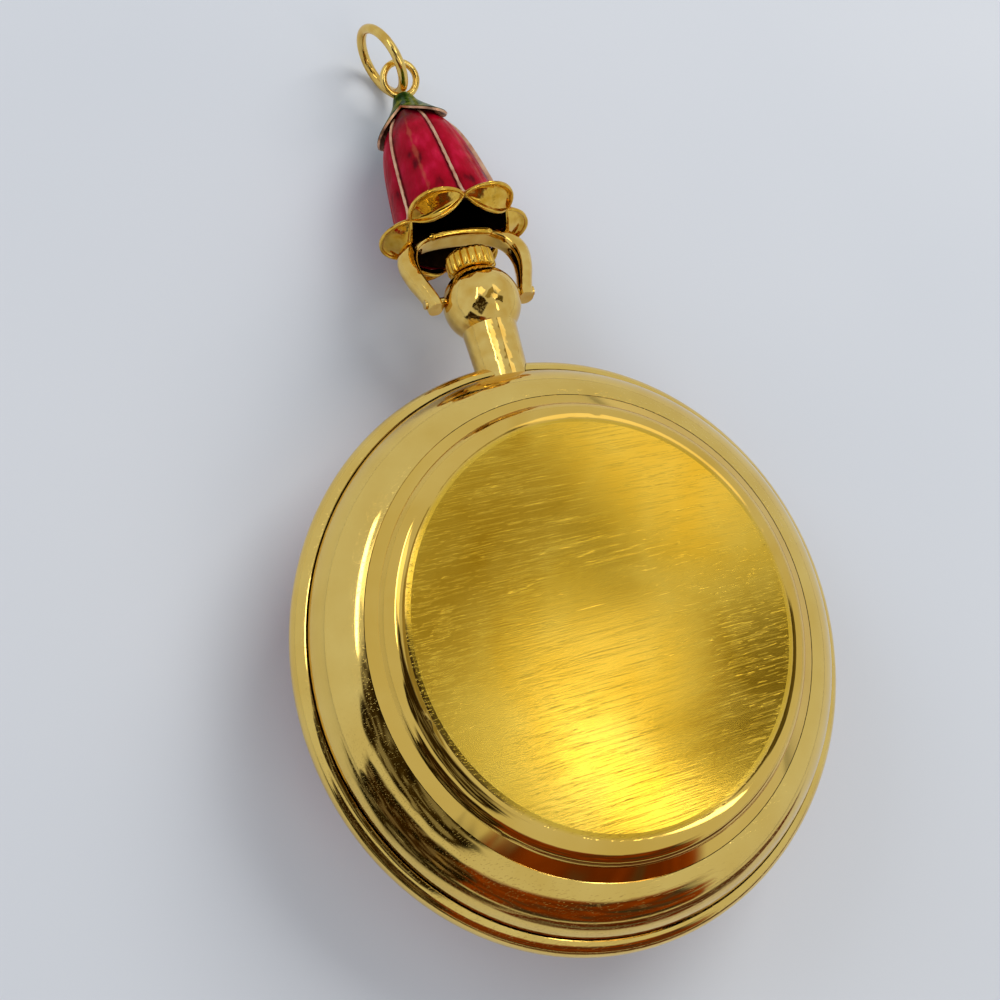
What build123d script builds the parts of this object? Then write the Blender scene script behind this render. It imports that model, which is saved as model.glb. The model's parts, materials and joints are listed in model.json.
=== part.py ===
from build123d import *
from math import asin, atan2, cos, degrees, hypot, pi, radians, sin, sqrt
import os

os.makedirs("parts", exist_ok=True)

# A pendant watch lying face down. Millimetres, +Z up out of the case back, +Y along the neck.
# The origin is on the case's axis, in the plane of the surface that the bezel rests on.

# Case, as seen from the back
case_radius = 17.0
equator_height = 7.05
edge_round_back = 1.0
edge_round_front = 2.5
front_seam_angle = 65
lip_width = 0.8
lip_step = 0.16
ring_width = 2.76
ring_rise = 3.50
ring_bulge = 0.56
ledge_width = 0.72
ledge_slope_rise = 0.45
shoulder_width = 1.26
shoulder_rise = 0.79
shoulder_bulge = 0.23
disc_round = 0.3
back_dome = 0.36
snap_gap = 0.04
joint_gap = 0.02
cut_margin = 1.0

# Neck, ball and crown
stem_drop = 0.4
neck_radius_case = 1.72
neck_radius_ball = 1.85
ball_reach = 4.77
ball_radius = 2.65
ball_top_cut = 2.3
crown_gap = 0.05
crown_length = 1.55
crown_radius = 1.6
crown_rib_radius = 0.18
crown_ribs = 20
crown_chamfer = 0.15
crown_travel = 1.0
pipe_radius = 0.95
pipe_depth = 1.8
running_gap = 0.03

# Flower and bow, along the flower's axis from the centre of the ball
droop = 11
bell_start = 6.3
bell_length = 12.7
bell_mouth_radius = 3.95
bell_wall = 0.6
enamel_depth = 0.2
petals = 6
petal_turn = 58
tip_inner_radius = 3.55
tip_inner_station = 5.42
tip_reach = 5.48
tip_station = 6.28
leaves = 3
leaf_turn = 54
bow_inner_reach = 5.6
bow_thickness = 0.8
bow_half_width = 2.8
arm_width = 1.15
bow_depth = 1.6
pin_station = 0.55
pin_radius = 0.35

# Loop and ring at the far end
loop_radius = 1.31
loop_wire = 0.54
ring_radius = 2.65
ring_wire = 0.75

# Dial, crystal and movement
bezel_width = 2.6
bezel_slope_width = 1.6
crystal_thickness = 1.0
crystal_drop = 2.0
crystal_front = 0.5
dial_edge_gap = 0.1
dial_thickness = 0.4
movement_radius = 11.7
stem_over_dial = 1.55
stem_radius = 0.45
battery_radius = 3.4
battery_height = 2.6

# Heights and radii that follow
stem_height = equator_height - stem_drop
pin_rise = stem_height - pin_station * sin(radians(droop))
lip_radius = case_radius - lip_width
lip_height = equator_height + sqrt(edge_round_back ** 2 - (edge_round_back - lip_width) ** 2)
ring_foot_radius = lip_radius - snap_gap
ring_foot_height = lip_height - lip_step
cover_radius = lip_radius - ring_width
ledge_height = equator_height + ring_rise
shoulder_radius = cover_radius - ledge_width
shoulder_height = ledge_height + ledge_slope_rise
disc_radius = shoulder_radius - shoulder_width
disc_height = shoulder_height + shoulder_rise
front_round_centre = case_radius - edge_round_front
front_seam_radius = front_round_centre + edge_round_front * cos(radians(front_seam_angle))
front_seam_height = equator_height - edge_round_front * sin(radians(front_seam_angle))
crystal_radius = front_seam_radius - bezel_width
dial_radius = crystal_radius - dial_edge_gap
movement_front = stem_height - stem_over_dial
dial_front = movement_front - dial_thickness
ball_y = case_radius + ball_reach
pin_y = ball_y + pin_station * cos(radians(droop))


def keep(piece, name):
    """Label a finished piece and write it under its own name."""
    piece.part.label = name
    export_step(piece.part, f"parts/{name}.step")


def bulged(start, end, bulge):
    """The middle point of an arc from start to end that stands out by bulge to its left."""
    run, rise = end[0] - start[0], end[1] - start[1]
    length = hypot(run, rise)
    middle = ((start[0] + end[0]) / 2, (start[1] + end[1]) / 2)
    return (middle[0] - rise / length * bulge, middle[1] + run / length * bulge)


def dome_middle(edge, crown_height):
    """The middle point of an arc from a dome's edge to its crown on the axis."""
    rise = crown_height - edge[1]
    radius = (edge[0] ** 2 + rise ** 2) / (2 * rise)
    half = asin(edge[0] / radius) / 2
    return (radius * sin(half), crown_height - radius + radius * cos(half))


# Case band: the middle of the case, with the lip round the back ring and the seat of the dial
seat_rise = 0.3
pocket_wall = 1.2
pocket_depth = 1.15
band_wall = 2.2
flange_width = 1.6
flange_thickness = 1.1
spigot_step = 1.1
pocket_radius = lip_radius - pocket_wall
seat_height = equator_height + seat_rise
pocket_height = seat_height - pocket_depth
bore_radius = lip_radius - band_wall
aperture_radius = bore_radius - flange_width
flange_bottom = dial_front - flange_thickness
spigot_radius = front_seam_radius - spigot_step
edge_top = (lip_radius, lip_height)
edge_side = (case_radius, equator_height)
edge_bottom = (front_seam_radius, front_seam_height)
half_seam = radians(front_seam_angle / 2)
half_lip = atan2(lip_height - equator_height, lip_radius - (case_radius - edge_round_back)) / 2
with BuildPart() as case_band:
    with BuildSketch(Plane.XZ):
        with BuildLine():
            back_mid = (
                case_radius - edge_round_back + edge_round_back * cos(half_lip),
                equator_height + edge_round_back * sin(half_lip),
            )
            front_mid = (
                front_round_centre + edge_round_front * cos(half_seam),
                equator_height - edge_round_front * sin(half_seam),
            )
            ThreePointArc(edge_top, back_mid, edge_side)
            ThreePointArc(edge_side, front_mid, edge_bottom)
            Polyline(
                edge_bottom,
                (spigot_radius, front_seam_height),
                (spigot_radius, flange_bottom),
                (aperture_radius, flange_bottom),
                (aperture_radius, dial_front),
                (bore_radius, dial_front),
                (bore_radius, pocket_height),
                (pocket_radius, pocket_height),
                (pocket_radius, seat_height),
                (lip_radius, seat_height),
                edge_top,
            )
        make_face()
    revolve(axis=Axis.Z)
    with BuildSketch(Plane.XZ.offset(-bore_radius)):
        with Locations((0, stem_height)):
            Circle(neck_radius_case + joint_gap)
    extrude(amount=-(case_radius - bore_radius + cut_margin), mode=Mode.SUBTRACT)
keep(case_band, "case_band")

# Back ring: the convex polished ring that snaps into the band and is notched over the neck
skirt_gap = 0.05
skirt_width = 0.8
ring_shelf_depth = 0.8
ring_shelf_width = 0.84
ring_shelf_thickness = 0.6
groove_width = 0.4
groove_depth = 0.35
notch_gap = 0.06
skirt_radius = pocket_radius - skirt_gap
skirt_inner = skirt_radius - skirt_width
shelf_height = ledge_height - ring_shelf_depth
shelf_inner = cover_radius - ring_shelf_width
groove_outer = (cover_radius + shelf_inner + groove_width) / 2
ring_foot = (ring_foot_radius, ring_foot_height)
ring_top = (cover_radius, ledge_height)
with BuildPart() as back_ring:
    with BuildSketch(Plane.XZ):
        with BuildLine():
            Line((ring_foot_radius, seat_height), ring_foot)
            ThreePointArc(ring_foot, bulged(ring_foot, ring_top, -ring_bulge), ring_top)
            Polyline(
                ring_top,
                (cover_radius, shelf_height),
                (groove_outer, shelf_height),
                (groove_outer, shelf_height - groove_depth),
                (groove_outer - groove_width, shelf_height - groove_depth),
                (groove_outer - groove_width, shelf_height),
                (shelf_inner, shelf_height),
                (shelf_inner, shelf_height - ring_shelf_thickness),
                (skirt_inner, ring_foot_height),
                (skirt_inner, pocket_height + skirt_gap),
                (skirt_radius, pocket_height + skirt_gap),
                (skirt_radius, seat_height),
                (ring_foot_radius, seat_height),
            )
        make_face()
    revolve(axis=Axis.Z)
    with BuildSketch(Plane.XZ.offset(-bore_radius)):
        with Locations((0, stem_height)):
            Circle(neck_radius_case + notch_gap)
            Rectangle(
                2 * (neck_radius_case + notch_gap),
                pocket_depth,
                align=(Align.CENTER, Align.MAX),
            )
    extrude(amount=-(case_radius - bore_radius), mode=Mode.SUBTRACT)
keep(back_ring, "back_ring")

with BuildPart() as back_gasket:
    with BuildSketch(Plane.XY.offset(shelf_height - groove_depth)):
        Circle(groove_outer)
        Circle(groove_outer - groove_width, mode=Mode.SUBTRACT)
    extrude(amount=groove_depth)
keep(back_gasket, "back_gasket")

# Case back: domed disc, rounded shoulder and narrow ledge, with a snap rim inside
rim_width = 0.55
rim_depth = 0.45
disc_thickness = 0.6
plug_radius = shelf_inner - snap_gap
flange_radius = cover_radius - snap_gap
plug_bottom = shelf_height - rim_depth
disc_crown = disc_height + back_dome
dome_start = (disc_radius - disc_round, disc_height + disc_round / 4)
shoulder_start = (shoulder_radius, shoulder_height)
disc_edge = (disc_radius, disc_height)
with BuildPart() as case_back:
    with BuildSketch(Plane.XZ):
        with BuildLine():
            Polyline((flange_radius, shelf_height), (flange_radius, ledge_height), shoulder_start)
            ThreePointArc(shoulder_start, bulged(shoulder_start, disc_edge, -shoulder_bulge), disc_edge)
            Line(disc_edge, dome_start)
            ThreePointArc(dome_start, dome_middle(dome_start, disc_crown), (0, disc_crown))
            Polyline(
                (0, disc_crown),
                (0, disc_crown - disc_thickness),
                (disc_radius, disc_height - disc_thickness),
                (plug_radius - rim_width, ledge_height),
                (plug_radius - rim_width, plug_bottom),
                (plug_radius, plug_bottom),
                (plug_radius, shelf_height),
                (flange_radius, shelf_height),
            )
        make_face()
    revolve(axis=Axis.Z)
keep(case_back, "case_back")

# Bezel: the front ring that holds the crystal, with a groove for its band of enamel
rim_land = 0.25
crystal_overlap = 0.36
gasket_width = 0.3
gasket_rise = 0.1
inlay_top = 4.05
inlay_bottom = 1.05
inlay_depth = 0.3
bezel_bulge = 0.45
bezel_rim_outer = front_seam_radius - bezel_slope_width
bezel_rim_inner = crystal_radius + rim_land
bezel_lip_radius = crystal_radius - crystal_overlap
crystal_seat = flange_bottom - crystal_drop
bezel_top = (front_seam_radius, front_seam_height - snap_gap)
bezel_rim = (bezel_rim_outer, 0)
seat_radius = crystal_radius + gasket_width
with BuildPart() as bezel_blank:
    with BuildSketch(Plane.XZ):
        with BuildLine():
            ThreePointArc(bezel_top, bulged(bezel_top, bezel_rim, bezel_bulge), bezel_rim)
            Polyline(
                bezel_rim,
                (bezel_rim_inner, 0),
                (bezel_lip_radius, crystal_seat / 2),
                (bezel_lip_radius, crystal_seat),
                (seat_radius, crystal_seat),
                (seat_radius, flange_bottom - snap_gap),
                (spigot_radius + snap_gap, flange_bottom - snap_gap),
                (spigot_radius + snap_gap, front_seam_height - snap_gap),
                bezel_top,
            )
        make_face()
    revolve(axis=Axis.Z)
    outer_edges = bezel_blank.edges().filter_by(GeomType.CIRCLE).group_by(SortBy.RADIUS)[-1]
    fillet(outer_edges, radius=snap_gap)

# The groove follows the bezel's own curve, one inlay depth inside it
with BuildPart() as bezel_enamel:
    with BuildSketch(Plane.XZ):
        with BuildLine():
            ThreePointArc(bezel_top, bulged(bezel_top, bezel_rim, bezel_bulge), bezel_rim)
            inner_top = (bezel_top[0] - inlay_depth, bezel_top[1])
            inner_rim = (bezel_rim[0] - inlay_depth, bezel_rim[1])
            Line(bezel_rim, inner_rim)
            ThreePointArc(inner_rim, bulged(inner_rim, inner_top, -bezel_bulge), inner_top)
            Line(inner_top, bezel_top)
        make_face()
        with Locations((0, inlay_bottom)):
            Rectangle(
                2 * case_radius,
                inlay_top - inlay_bottom,
                align=(Align.CENTER, Align.MIN),
                mode=Mode.INTERSECT,
            )
    revolve(axis=Axis.Z)
with BuildPart() as bezel:
    add(bezel_blank.part)
    add(bezel_enamel.part, mode=Mode.SUBTRACT)
keep(bezel, "bezel")
keep(bezel_enamel, "bezel_enamel")

# Crystal: a domed glass, and its gasket
with BuildPart() as crystal:
    with BuildSketch(Plane.XZ):
        with BuildLine():
            edge_front = (crystal_radius, crystal_seat)
            edge_back = (crystal_radius, crystal_seat + crystal_thickness)
            step_front = (bezel_lip_radius, crystal_seat)
            step_back = (bezel_lip_radius, crystal_seat + crystal_thickness)
            dome_back = crystal_front + crystal_thickness
            Line((0, dome_back), (0, crystal_front))
            ThreePointArc((0, crystal_front), dome_middle(step_front, crystal_front), step_front)
            Polyline(step_front, edge_front, edge_back, step_back)
            ThreePointArc(step_back, dome_middle(step_back, dome_back), (0, dome_back))
        make_face()
    revolve(axis=Axis.Z)
keep(crystal, "crystal")

with BuildPart() as crystal_gasket:
    with BuildSketch(Plane.XY.offset(crystal_seat)):
        Circle(seat_radius)
        Circle(crystal_radius, mode=Mode.SUBTRACT)
    extrude(amount=crystal_thickness + gasket_rise)
keep(crystal_gasket, "crystal_gasket")

# Dial with its two feet
hour_pipe_radius = 0.75
dial_hole_gap = 0.1
dial_hole_radius = hour_pipe_radius + dial_hole_gap
foot_radius = 0.35
foot_length = 0.8
foot_circle = 9.6
foot_bearing = 125
with BuildPart() as dial:
    with BuildSketch(Plane.XY.offset(dial_front)):
        Circle(dial_radius)
        Circle(dial_hole_radius, mode=Mode.SUBTRACT)
    extrude(amount=dial_thickness)
    with BuildSketch(Plane.XY.offset(movement_front)):
        with PolarLocations(foot_circle, 2, start_angle=foot_bearing):
            Circle(foot_radius)
    extrude(amount=foot_length)
keep(dial, "dial")

# Movement levels above the dial
plate_thickness = 1.3
web_thickness = 0.75
pillar_height = 1.7
web_height = movement_front + web_thickness
plate_top = movement_front + plate_thickness
bridge_bottom = plate_top + pillar_height
bridge_thickness = 0.4
bridge_top = bridge_bottom + bridge_thickness
pivot_radius = 0.1
pivot_hole_radius = pivot_radius + joint_gap
arbor_radius = 0.2

# Train centres, worked out from the gears' modules and teeth
module_centre = 0.16
module_third = 0.12
module_fourth = 0.10
module_motion = 0.12
centre_teeth, third_pinion_teeth = 30, 10
third_teeth, fourth_pinion_teeth = 40, 8
fourth_teeth, rotor_pinion_teeth = 48, 8
cannon_teeth, minute_teeth = 12, 36
minute_pinion_teeth, hour_teeth = 10, 40
third_bearing, fourth_bearing, rotor_bearing, minute_bearing = 200, 250, 200, 90
motion_distance = module_motion * (cannon_teeth + minute_teeth) / 2
module_hour = 2 * motion_distance / (minute_pinion_teeth + hour_teeth)


def step_from(centre, distance, bearing):
    """The point at a distance and bearing in degrees from a centre."""
    return (
        centre[0] + distance * cos(radians(bearing)),
        centre[1] + distance * sin(radians(bearing)),
    )


third_distance = module_centre * (centre_teeth + third_pinion_teeth) / 2
fourth_distance = module_third * (third_teeth + fourth_pinion_teeth) / 2
rotor_distance = module_fourth * (fourth_teeth + rotor_pinion_teeth) / 2
third_centre = step_from((0, 0), third_distance, third_bearing)
fourth_centre = step_from(third_centre, fourth_distance, fourth_bearing)
rotor_centre = step_from(fourth_centre, rotor_distance, rotor_bearing)
minute_centre = step_from((0, 0), motion_distance, minute_bearing)
battery_centre = (5.8, -2.6)
pillar_centres = [(-8.6, 0.6), (-0.2, -4.3), (-3.6, 3.9)]
pillar_radius = 0.9
screw_radius = 0.3
screw_head_radius = 0.6
screw_head_height = 0.2
coil_y = -8.6
core_ends = [(-4.8, coil_y), (3.8, coil_y)]

tooth_root_share = 1.0
tooth_tip_share = 0.75
tooth_width_shares = (0.25, 0.195, 0.085)
wheel_holes = 5
wheel_hole_share = 0.3


def gear(teeth, module, first_tooth):
    """A toothed outline in the open sketch, with one tooth's middle at first_tooth degrees."""
    pitch_radius = teeth * module / 2
    root = pitch_radius - tooth_root_share * module
    tip = pitch_radius + tooth_tip_share * module
    foot = root - tooth_root_share * module / 2
    root_half, pitch_half, tip_half = (share * pi * module for share in tooth_width_shares)
    Circle(root)
    with PolarLocations(0, teeth, start_angle=first_tooth):
        Polygon(
            (foot, -root_half),
            (pitch_radius, -pitch_half),
            (tip, -tip_half),
            (tip, tip_half),
            (pitch_radius, pitch_half),
            (foot, root_half),
            align=None,
        )


def bar(start, end, width):
    """A round-ended bar between two points of the open sketch."""
    run, rise = end[0] - start[0], end[1] - start[1]
    middle = ((start[0] + end[0]) / 2, (start[1] + end[1]) / 2)
    with Locations(Location(middle, degrees(atan2(rise, run)))):
        SlotCenterToCenter(hypot(run, rise), width)


def crossings(pitch_radius, hub_radius):
    """Lightening holes between a wheel's hub and its rim."""
    hole_radius = (pitch_radius - hub_radius) * wheel_hole_share
    with PolarLocations((pitch_radius + hub_radius) / 2, wheel_holes):
        Circle(hole_radius, mode=Mode.SUBTRACT)


# Main plate: recesses for the motion work, battery, coil, stem and keyless pinion
pinion_length = 0.5
pinion_radius = 0.98
pinion_slot_gap = 0.12
pinion_back = 1.3
recess_gap = 0.2
motion_recess_radius = minute_teeth * module_motion / 2 + module_motion + recess_gap
battery_web = 0.45
battery_floor = movement_front + battery_web
battery_gap = 0.05
stud_radius = 0.2
coil_radius = 0.9
coil_length = 6.6
coil_rise = 0.63
coil_height = plate_top + coil_rise
core_width = 0.8
core_thickness = 0.4
lever_pivot = (-3.6, 9.3)
lever_stud_radius = 0.35
centre_hole_radius = 0.58
pinion_rest_y = minute_centre[1] + motion_recess_radius - crown_travel - pinion_back
with BuildPart() as main_plate:
    with BuildSketch(Plane.XY.offset(movement_front)):
        Circle(movement_radius)
    extrude(amount=plate_thickness)
    with BuildSketch(Plane.XY.offset(movement_front)):
        Circle(motion_recess_radius)
        with Locations(minute_centre):
            Circle(motion_recess_radius)
    extrude(amount=web_height - movement_front, mode=Mode.SUBTRACT)
    with BuildSketch(Plane.XY.offset(battery_floor)):
        with Locations(battery_centre):
            Circle(battery_radius + battery_gap)
    extrude(amount=plate_thickness, mode=Mode.SUBTRACT)
    with BuildSketch(Plane.XY.offset(coil_height - coil_radius - battery_gap)):
        with Locations(((core_ends[0][0] + core_ends[1][0]) / 2, coil_y)):
            Rectangle(coil_length + core_width, 2 * coil_radius + core_width / 2)
    extrude(amount=plate_thickness, mode=Mode.SUBTRACT)
    with BuildSketch(Plane.XZ.offset(-(pinion_rest_y - pinion_slot_gap))):
        with Locations((0, stem_height)):
            Circle(stem_radius + recess_gap / 2)
    extrude(amount=-movement_radius, mode=Mode.SUBTRACT)
    with BuildSketch(Plane.XY.offset(web_height - battery_gap)):
        with Locations((0, pinion_rest_y - pinion_slot_gap)):
            Rectangle(
                2 * (pinion_radius + pinion_slot_gap),
                pinion_length + crown_travel + 2 * pinion_slot_gap,
                align=(Align.CENTER, Align.MIN),
            )
    extrude(amount=plate_thickness, mode=Mode.SUBTRACT)
    with BuildSketch(Plane.XY.offset(movement_front)):
        Circle(centre_hole_radius)
        with Locations(third_centre, fourth_centre, rotor_centre):
            Circle(pivot_hole_radius)
        with PolarLocations(foot_circle, 2, start_angle=foot_bearing):
            Circle(foot_radius + joint_gap)
        with Locations(*pillar_centres, *core_ends):
            Circle(screw_radius + joint_gap)
    extrude(amount=plate_thickness, mode=Mode.SUBTRACT)
    with BuildSketch(Plane.XY.offset(movement_front + battery_gap)):
        with Locations(minute_centre):
            Circle(stud_radius)
    extrude(amount=web_height - movement_front)
    with BuildSketch(Plane.XY.offset(plate_top)):
        with Locations(lever_pivot):
            Circle(lever_stud_radius)
    extrude(amount=stem_height + 2 * stem_radius - plate_top)
keep(main_plate, "main_plate")

# Train bridge on three pillars
bridge_margin = 1.2
with BuildPart() as train_bridge:
    with BuildSketch(Plane.XY.offset(bridge_bottom)):
        with Locations((0, 0), rotor_centre, *pillar_centres):
            Circle(bridge_margin)
        make_hull()
        with Locations((0, 0), third_centre, fourth_centre, rotor_centre):
            Circle(pivot_hole_radius, mode=Mode.SUBTRACT)
    extrude(amount=bridge_thickness)
    with BuildSketch(Plane.XY.offset(plate_top)):
        with Locations(*pillar_centres):
            Circle(pillar_radius)
    extrude(amount=bridge_bottom - plate_top)
    with BuildSketch(Plane.XY.offset(plate_top)):
        with Locations(*pillar_centres):
            Circle(screw_radius + joint_gap)
    extrude(amount=bridge_top - plate_top, mode=Mode.SUBTRACT)
keep(train_bridge, "train_bridge")

# Stator, coil and coil core
stator_bottom = plate_top + joint_gap
stator_thickness = 0.4
stator_top = stator_bottom + stator_thickness
stator_width = 1.1
stator_leg = 1.9
stator_bend = (core_ends[1][0], coil_y + stator_leg)
magnet_radius = 0.6
magnet_gap = 0.25
stator_ring_width = 0.6
stator_hole_radius = magnet_radius + magnet_gap
stator_ring_radius = stator_hole_radius + stator_ring_width
core_bottom = stator_top
with BuildPart() as stator:
    with BuildSketch(Plane.XY.offset(stator_bottom)):
        with Locations(rotor_centre):
            Circle(stator_ring_radius)
        for start, end in (
            (rotor_centre, core_ends[0]),
            (rotor_centre, stator_bend),
            (stator_bend, core_ends[1]),
        ):
            bar(start, end, stator_width)
        with Locations(rotor_centre):
            Circle(stator_hole_radius, mode=Mode.SUBTRACT)
        with Locations(*core_ends):
            Circle(screw_radius + joint_gap, mode=Mode.SUBTRACT)
    extrude(amount=stator_thickness)
keep(stator, "stator")

coil_middle = ((core_ends[0][0] + core_ends[1][0]) / 2, coil_y)
coil_centre_height = core_bottom + core_thickness / 2
with BuildPart() as coil_core:
    with BuildSketch(Plane.XY.offset(core_bottom)):
        with Locations(coil_middle):
            SlotCenterToCenter(core_ends[1][0] - core_ends[0][0], core_width)
        with Locations(*core_ends):
            Circle(screw_radius + joint_gap, mode=Mode.SUBTRACT)
    extrude(amount=core_thickness)
keep(coil_core, "coil_core")

with BuildPart() as coil_winding:
    with BuildSketch(Plane.YZ.offset(coil_middle[0])):
        with Locations((coil_y, coil_centre_height)):
            Circle(coil_radius)
            Rectangle(core_width + joint_gap, core_thickness + joint_gap, mode=Mode.SUBTRACT)
    extrude(amount=coil_length / 2, both=True)
keep(coil_winding, "coil_winding")


# Screws of the bridge and the coil
screw_reach = 0.7
slot_width = 0.16
with BuildPart() as movement_screws:
    for centres, head_bottom in (
        (pillar_centres, bridge_top),
        (core_ends, core_bottom + core_thickness),
    ):
        with BuildSketch(Plane.XY.offset(head_bottom)):
            with Locations(*centres):
                Circle(screw_head_radius)
        extrude(amount=screw_head_height)
        with BuildSketch(Plane.XY.offset(plate_top - screw_reach)):
            with Locations(*centres):
                Circle(screw_radius)
        extrude(amount=head_bottom - plate_top + screw_reach)
        with BuildSketch(Plane.XY.offset(head_bottom + screw_head_height / 2)):
            with Locations(*centres):
                Rectangle(3 * screw_head_radius, slot_width)
        extrude(amount=screw_head_height, mode=Mode.SUBTRACT)
keep(movement_screws, "movement_screws")

# Battery and its strap
strap_width = 1.4
strap_thickness = 0.15
strap_leg = 0.3
battery_bottom = battery_floor + battery_gap / 2
battery_top = battery_bottom + battery_height
with BuildPart() as battery:
    with BuildSketch(Plane.XY.offset(battery_bottom)):
        with Locations(battery_centre):
            Circle(battery_radius)
    extrude(amount=battery_height)
    fillet(battery.edges().filter_by(GeomType.CIRCLE), radius=strap_thickness)
keep(battery, "battery")

strap_bottom = battery_top + joint_gap
strap_half = battery_radius + battery_gap + strap_leg
with BuildPart() as battery_strap:
    with BuildSketch(Plane.XY.offset(strap_bottom)):
        with Locations(battery_centre):
            Rectangle(strap_width, 2 * (strap_half + strap_leg))
    extrude(amount=strap_thickness)
    with BuildSketch(Plane.XY.offset(plate_top)):
        for side in (-1, 1):
            leg_y = battery_centre[1] + side * (strap_half + strap_leg / 2)
            with Locations((battery_centre[0], leg_y)):
                Rectangle(strap_width, strap_leg)
    extrude(amount=strap_bottom - plate_top)
keep(battery_strap, "battery_strap")

# Circuit board with its chip and quartz can
board_thickness = 0.2
board_gap = 0.05
board_round = 0.6
chip_size = 2.2
chip_height = 0.6
can_radius = 0.7
can_length = 4.4
chip_centre = (4.2, 4.4)
can_centre = (7.4, 4.1)
board_outline = [(3.0, 1.9), (9.4, 1.9), (9.2, 6.0), (6.6, 8.6), (1.8, 8.6), (1.8, 5.4)]
board_bottom = plate_top + board_gap / 2
board_top = board_bottom + board_thickness
with BuildPart() as circuit_board:
    with BuildSketch(Plane.XY.offset(board_bottom)) as board_sketch:
        Polygon(*board_outline, align=None)
        fillet(board_sketch.vertices(), radius=board_round)
    extrude(amount=board_thickness)
keep(circuit_board, "circuit_board")

with BuildPart() as timing_chip:
    with BuildSketch(Plane.XY.offset(board_top)):
        with Locations(chip_centre):
            RectangleRounded(chip_size, chip_size, board_round / 2)
    extrude(amount=chip_height)
keep(timing_chip, "timing_chip")

with BuildPart() as quartz_can:
    with BuildSketch(Plane.XZ.offset(-(can_centre[1] - can_length / 2))):
        with Locations((can_centre[0], board_top + can_radius + joint_gap)):
            Circle(can_radius)
    extrude(amount=-can_length)
    fillet(quartz_can.edges().filter_by(GeomType.CIRCLE), radius=can_radius / 3)
keep(quartz_can, "quartz_can")

# Going train, from the rotor to the centre wheel
wheel_thickness = 0.2
pinion_height = 0.4
wheel_clearance = 0.15
wheel_pitch = 0.45
pinion_drop = 0.1
pivot_shoulder = 0.1
centre_level = plate_top + wheel_clearance
third_level = centre_level + wheel_pitch
fourth_level = third_level + wheel_pitch
pivot_start = plate_top + pivot_shoulder
pivot_end = bridge_bottom - pivot_shoulder
cannon_bore_radius = 0.24
cannon_radius = 0.45
with BuildPart() as centre_wheel:
    with BuildSketch(Plane.XY.offset(centre_level)):
        gear(centre_teeth, module_centre, third_bearing)
        crossings(centre_teeth * module_centre / 2, 2 * arbor_radius)
    extrude(amount=wheel_thickness)
    with BuildSketch(Plane.XY.offset(dial_front)):
        Circle(arbor_radius)
    extrude(amount=pivot_end - dial_front)
    with BuildSketch(Plane.XY.offset(pivot_end)):
        Circle(pivot_radius)
    extrude(amount=bridge_top - pivot_end)
keep(centre_wheel, "centre_wheel")


def arbor(centre):
    """An arbor with its two pivots, in the open part."""
    with BuildSketch(Plane.XY.offset(pivot_start)) as shaft:
        with Locations(centre):
            Circle(arbor_radius)
    extrude(shaft.sketch, amount=pivot_end - pivot_start)
    with BuildSketch(Plane.XY.offset(web_height)) as pivots:
        with Locations(centre):
            Circle(pivot_radius)
    extrude(pivots.sketch, amount=bridge_top - web_height)


def wheel_and_pinion(centre, wheel, pinion):
    """A wheel and its pinion, each given as teeth, module, first tooth, level and height."""
    for teeth, module, first_tooth, level, height in (wheel, pinion):
        with BuildSketch(Plane.XY.offset(level)) as toothed:
            with Locations(centre):
                gear(teeth, module, first_tooth)
        extrude(toothed.sketch, amount=height)
    arbor(centre)


def facing_gap(bearing, teeth):
    """The first tooth of a gear whose gap faces back along a bearing."""
    return bearing + 180 + 180 / teeth


with BuildPart() as third_wheel:
    wheel_and_pinion(
        third_centre,
        (third_teeth, module_third, fourth_bearing, third_level, wheel_thickness),
        (
            third_pinion_teeth,
            module_centre,
            facing_gap(third_bearing, third_pinion_teeth),
            centre_level - pinion_drop / 2,
            pinion_height,
        ),
    )
keep(third_wheel, "third_wheel")

with BuildPart() as intermediate_wheel:
    wheel_and_pinion(
        fourth_centre,
        (fourth_teeth, module_fourth, rotor_bearing, fourth_level, wheel_thickness),
        (
            fourth_pinion_teeth,
            module_third,
            facing_gap(fourth_bearing, fourth_pinion_teeth),
            third_level - pinion_drop,
            pinion_height,
        ),
    )
keep(intermediate_wheel, "intermediate_wheel")

magnet_height = 0.6
with BuildPart() as rotor:
    with BuildSketch(Plane.XY.offset(fourth_level - pinion_drop)):
        with Locations(rotor_centre):
            gear(rotor_pinion_teeth, module_fourth, facing_gap(rotor_bearing, rotor_pinion_teeth))
    extrude(amount=pinion_height)
    with BuildSketch(Plane.XY.offset(pivot_start)):
        with Locations(rotor_centre):
            Circle(magnet_radius)
    extrude(amount=magnet_height)
    arbor(rotor_centre)
keep(rotor, "rotor")

# Motion work between the plate and the dial
minute_rise = 0.35
hour_rise = 0.1
cannon_reach = 1.15
minute_hand_reach = 1.0
hour_hand_reach = 0.55
hand_thickness = 0.15
pipe_overhang = 0.05
pinion_gap = 0.05
minute_level = movement_front + minute_rise
hour_level = movement_front + hour_rise
cannon_end = dial_front - cannon_reach
minute_hand_level = dial_front - minute_hand_reach
hour_hand_level = dial_front - hour_hand_reach
hour_pipe_end = hour_hand_level - pipe_overhang
with BuildPart() as cannon_pinion:
    with BuildSketch(Plane.XY.offset(minute_level)):
        gear(cannon_teeth, module_motion, minute_bearing)
    extrude(amount=wheel_thickness + pinion_drop)
    with BuildSketch(Plane.XY.offset(cannon_end)):
        Circle(cannon_radius)
    extrude(amount=minute_level - cannon_end)
    with BuildSketch(Plane.XY.offset(dial_front)):
        Circle(cannon_bore_radius)
    extrude(amount=plate_thickness, mode=Mode.SUBTRACT)
keep(cannon_pinion, "cannon_pinion")

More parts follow.
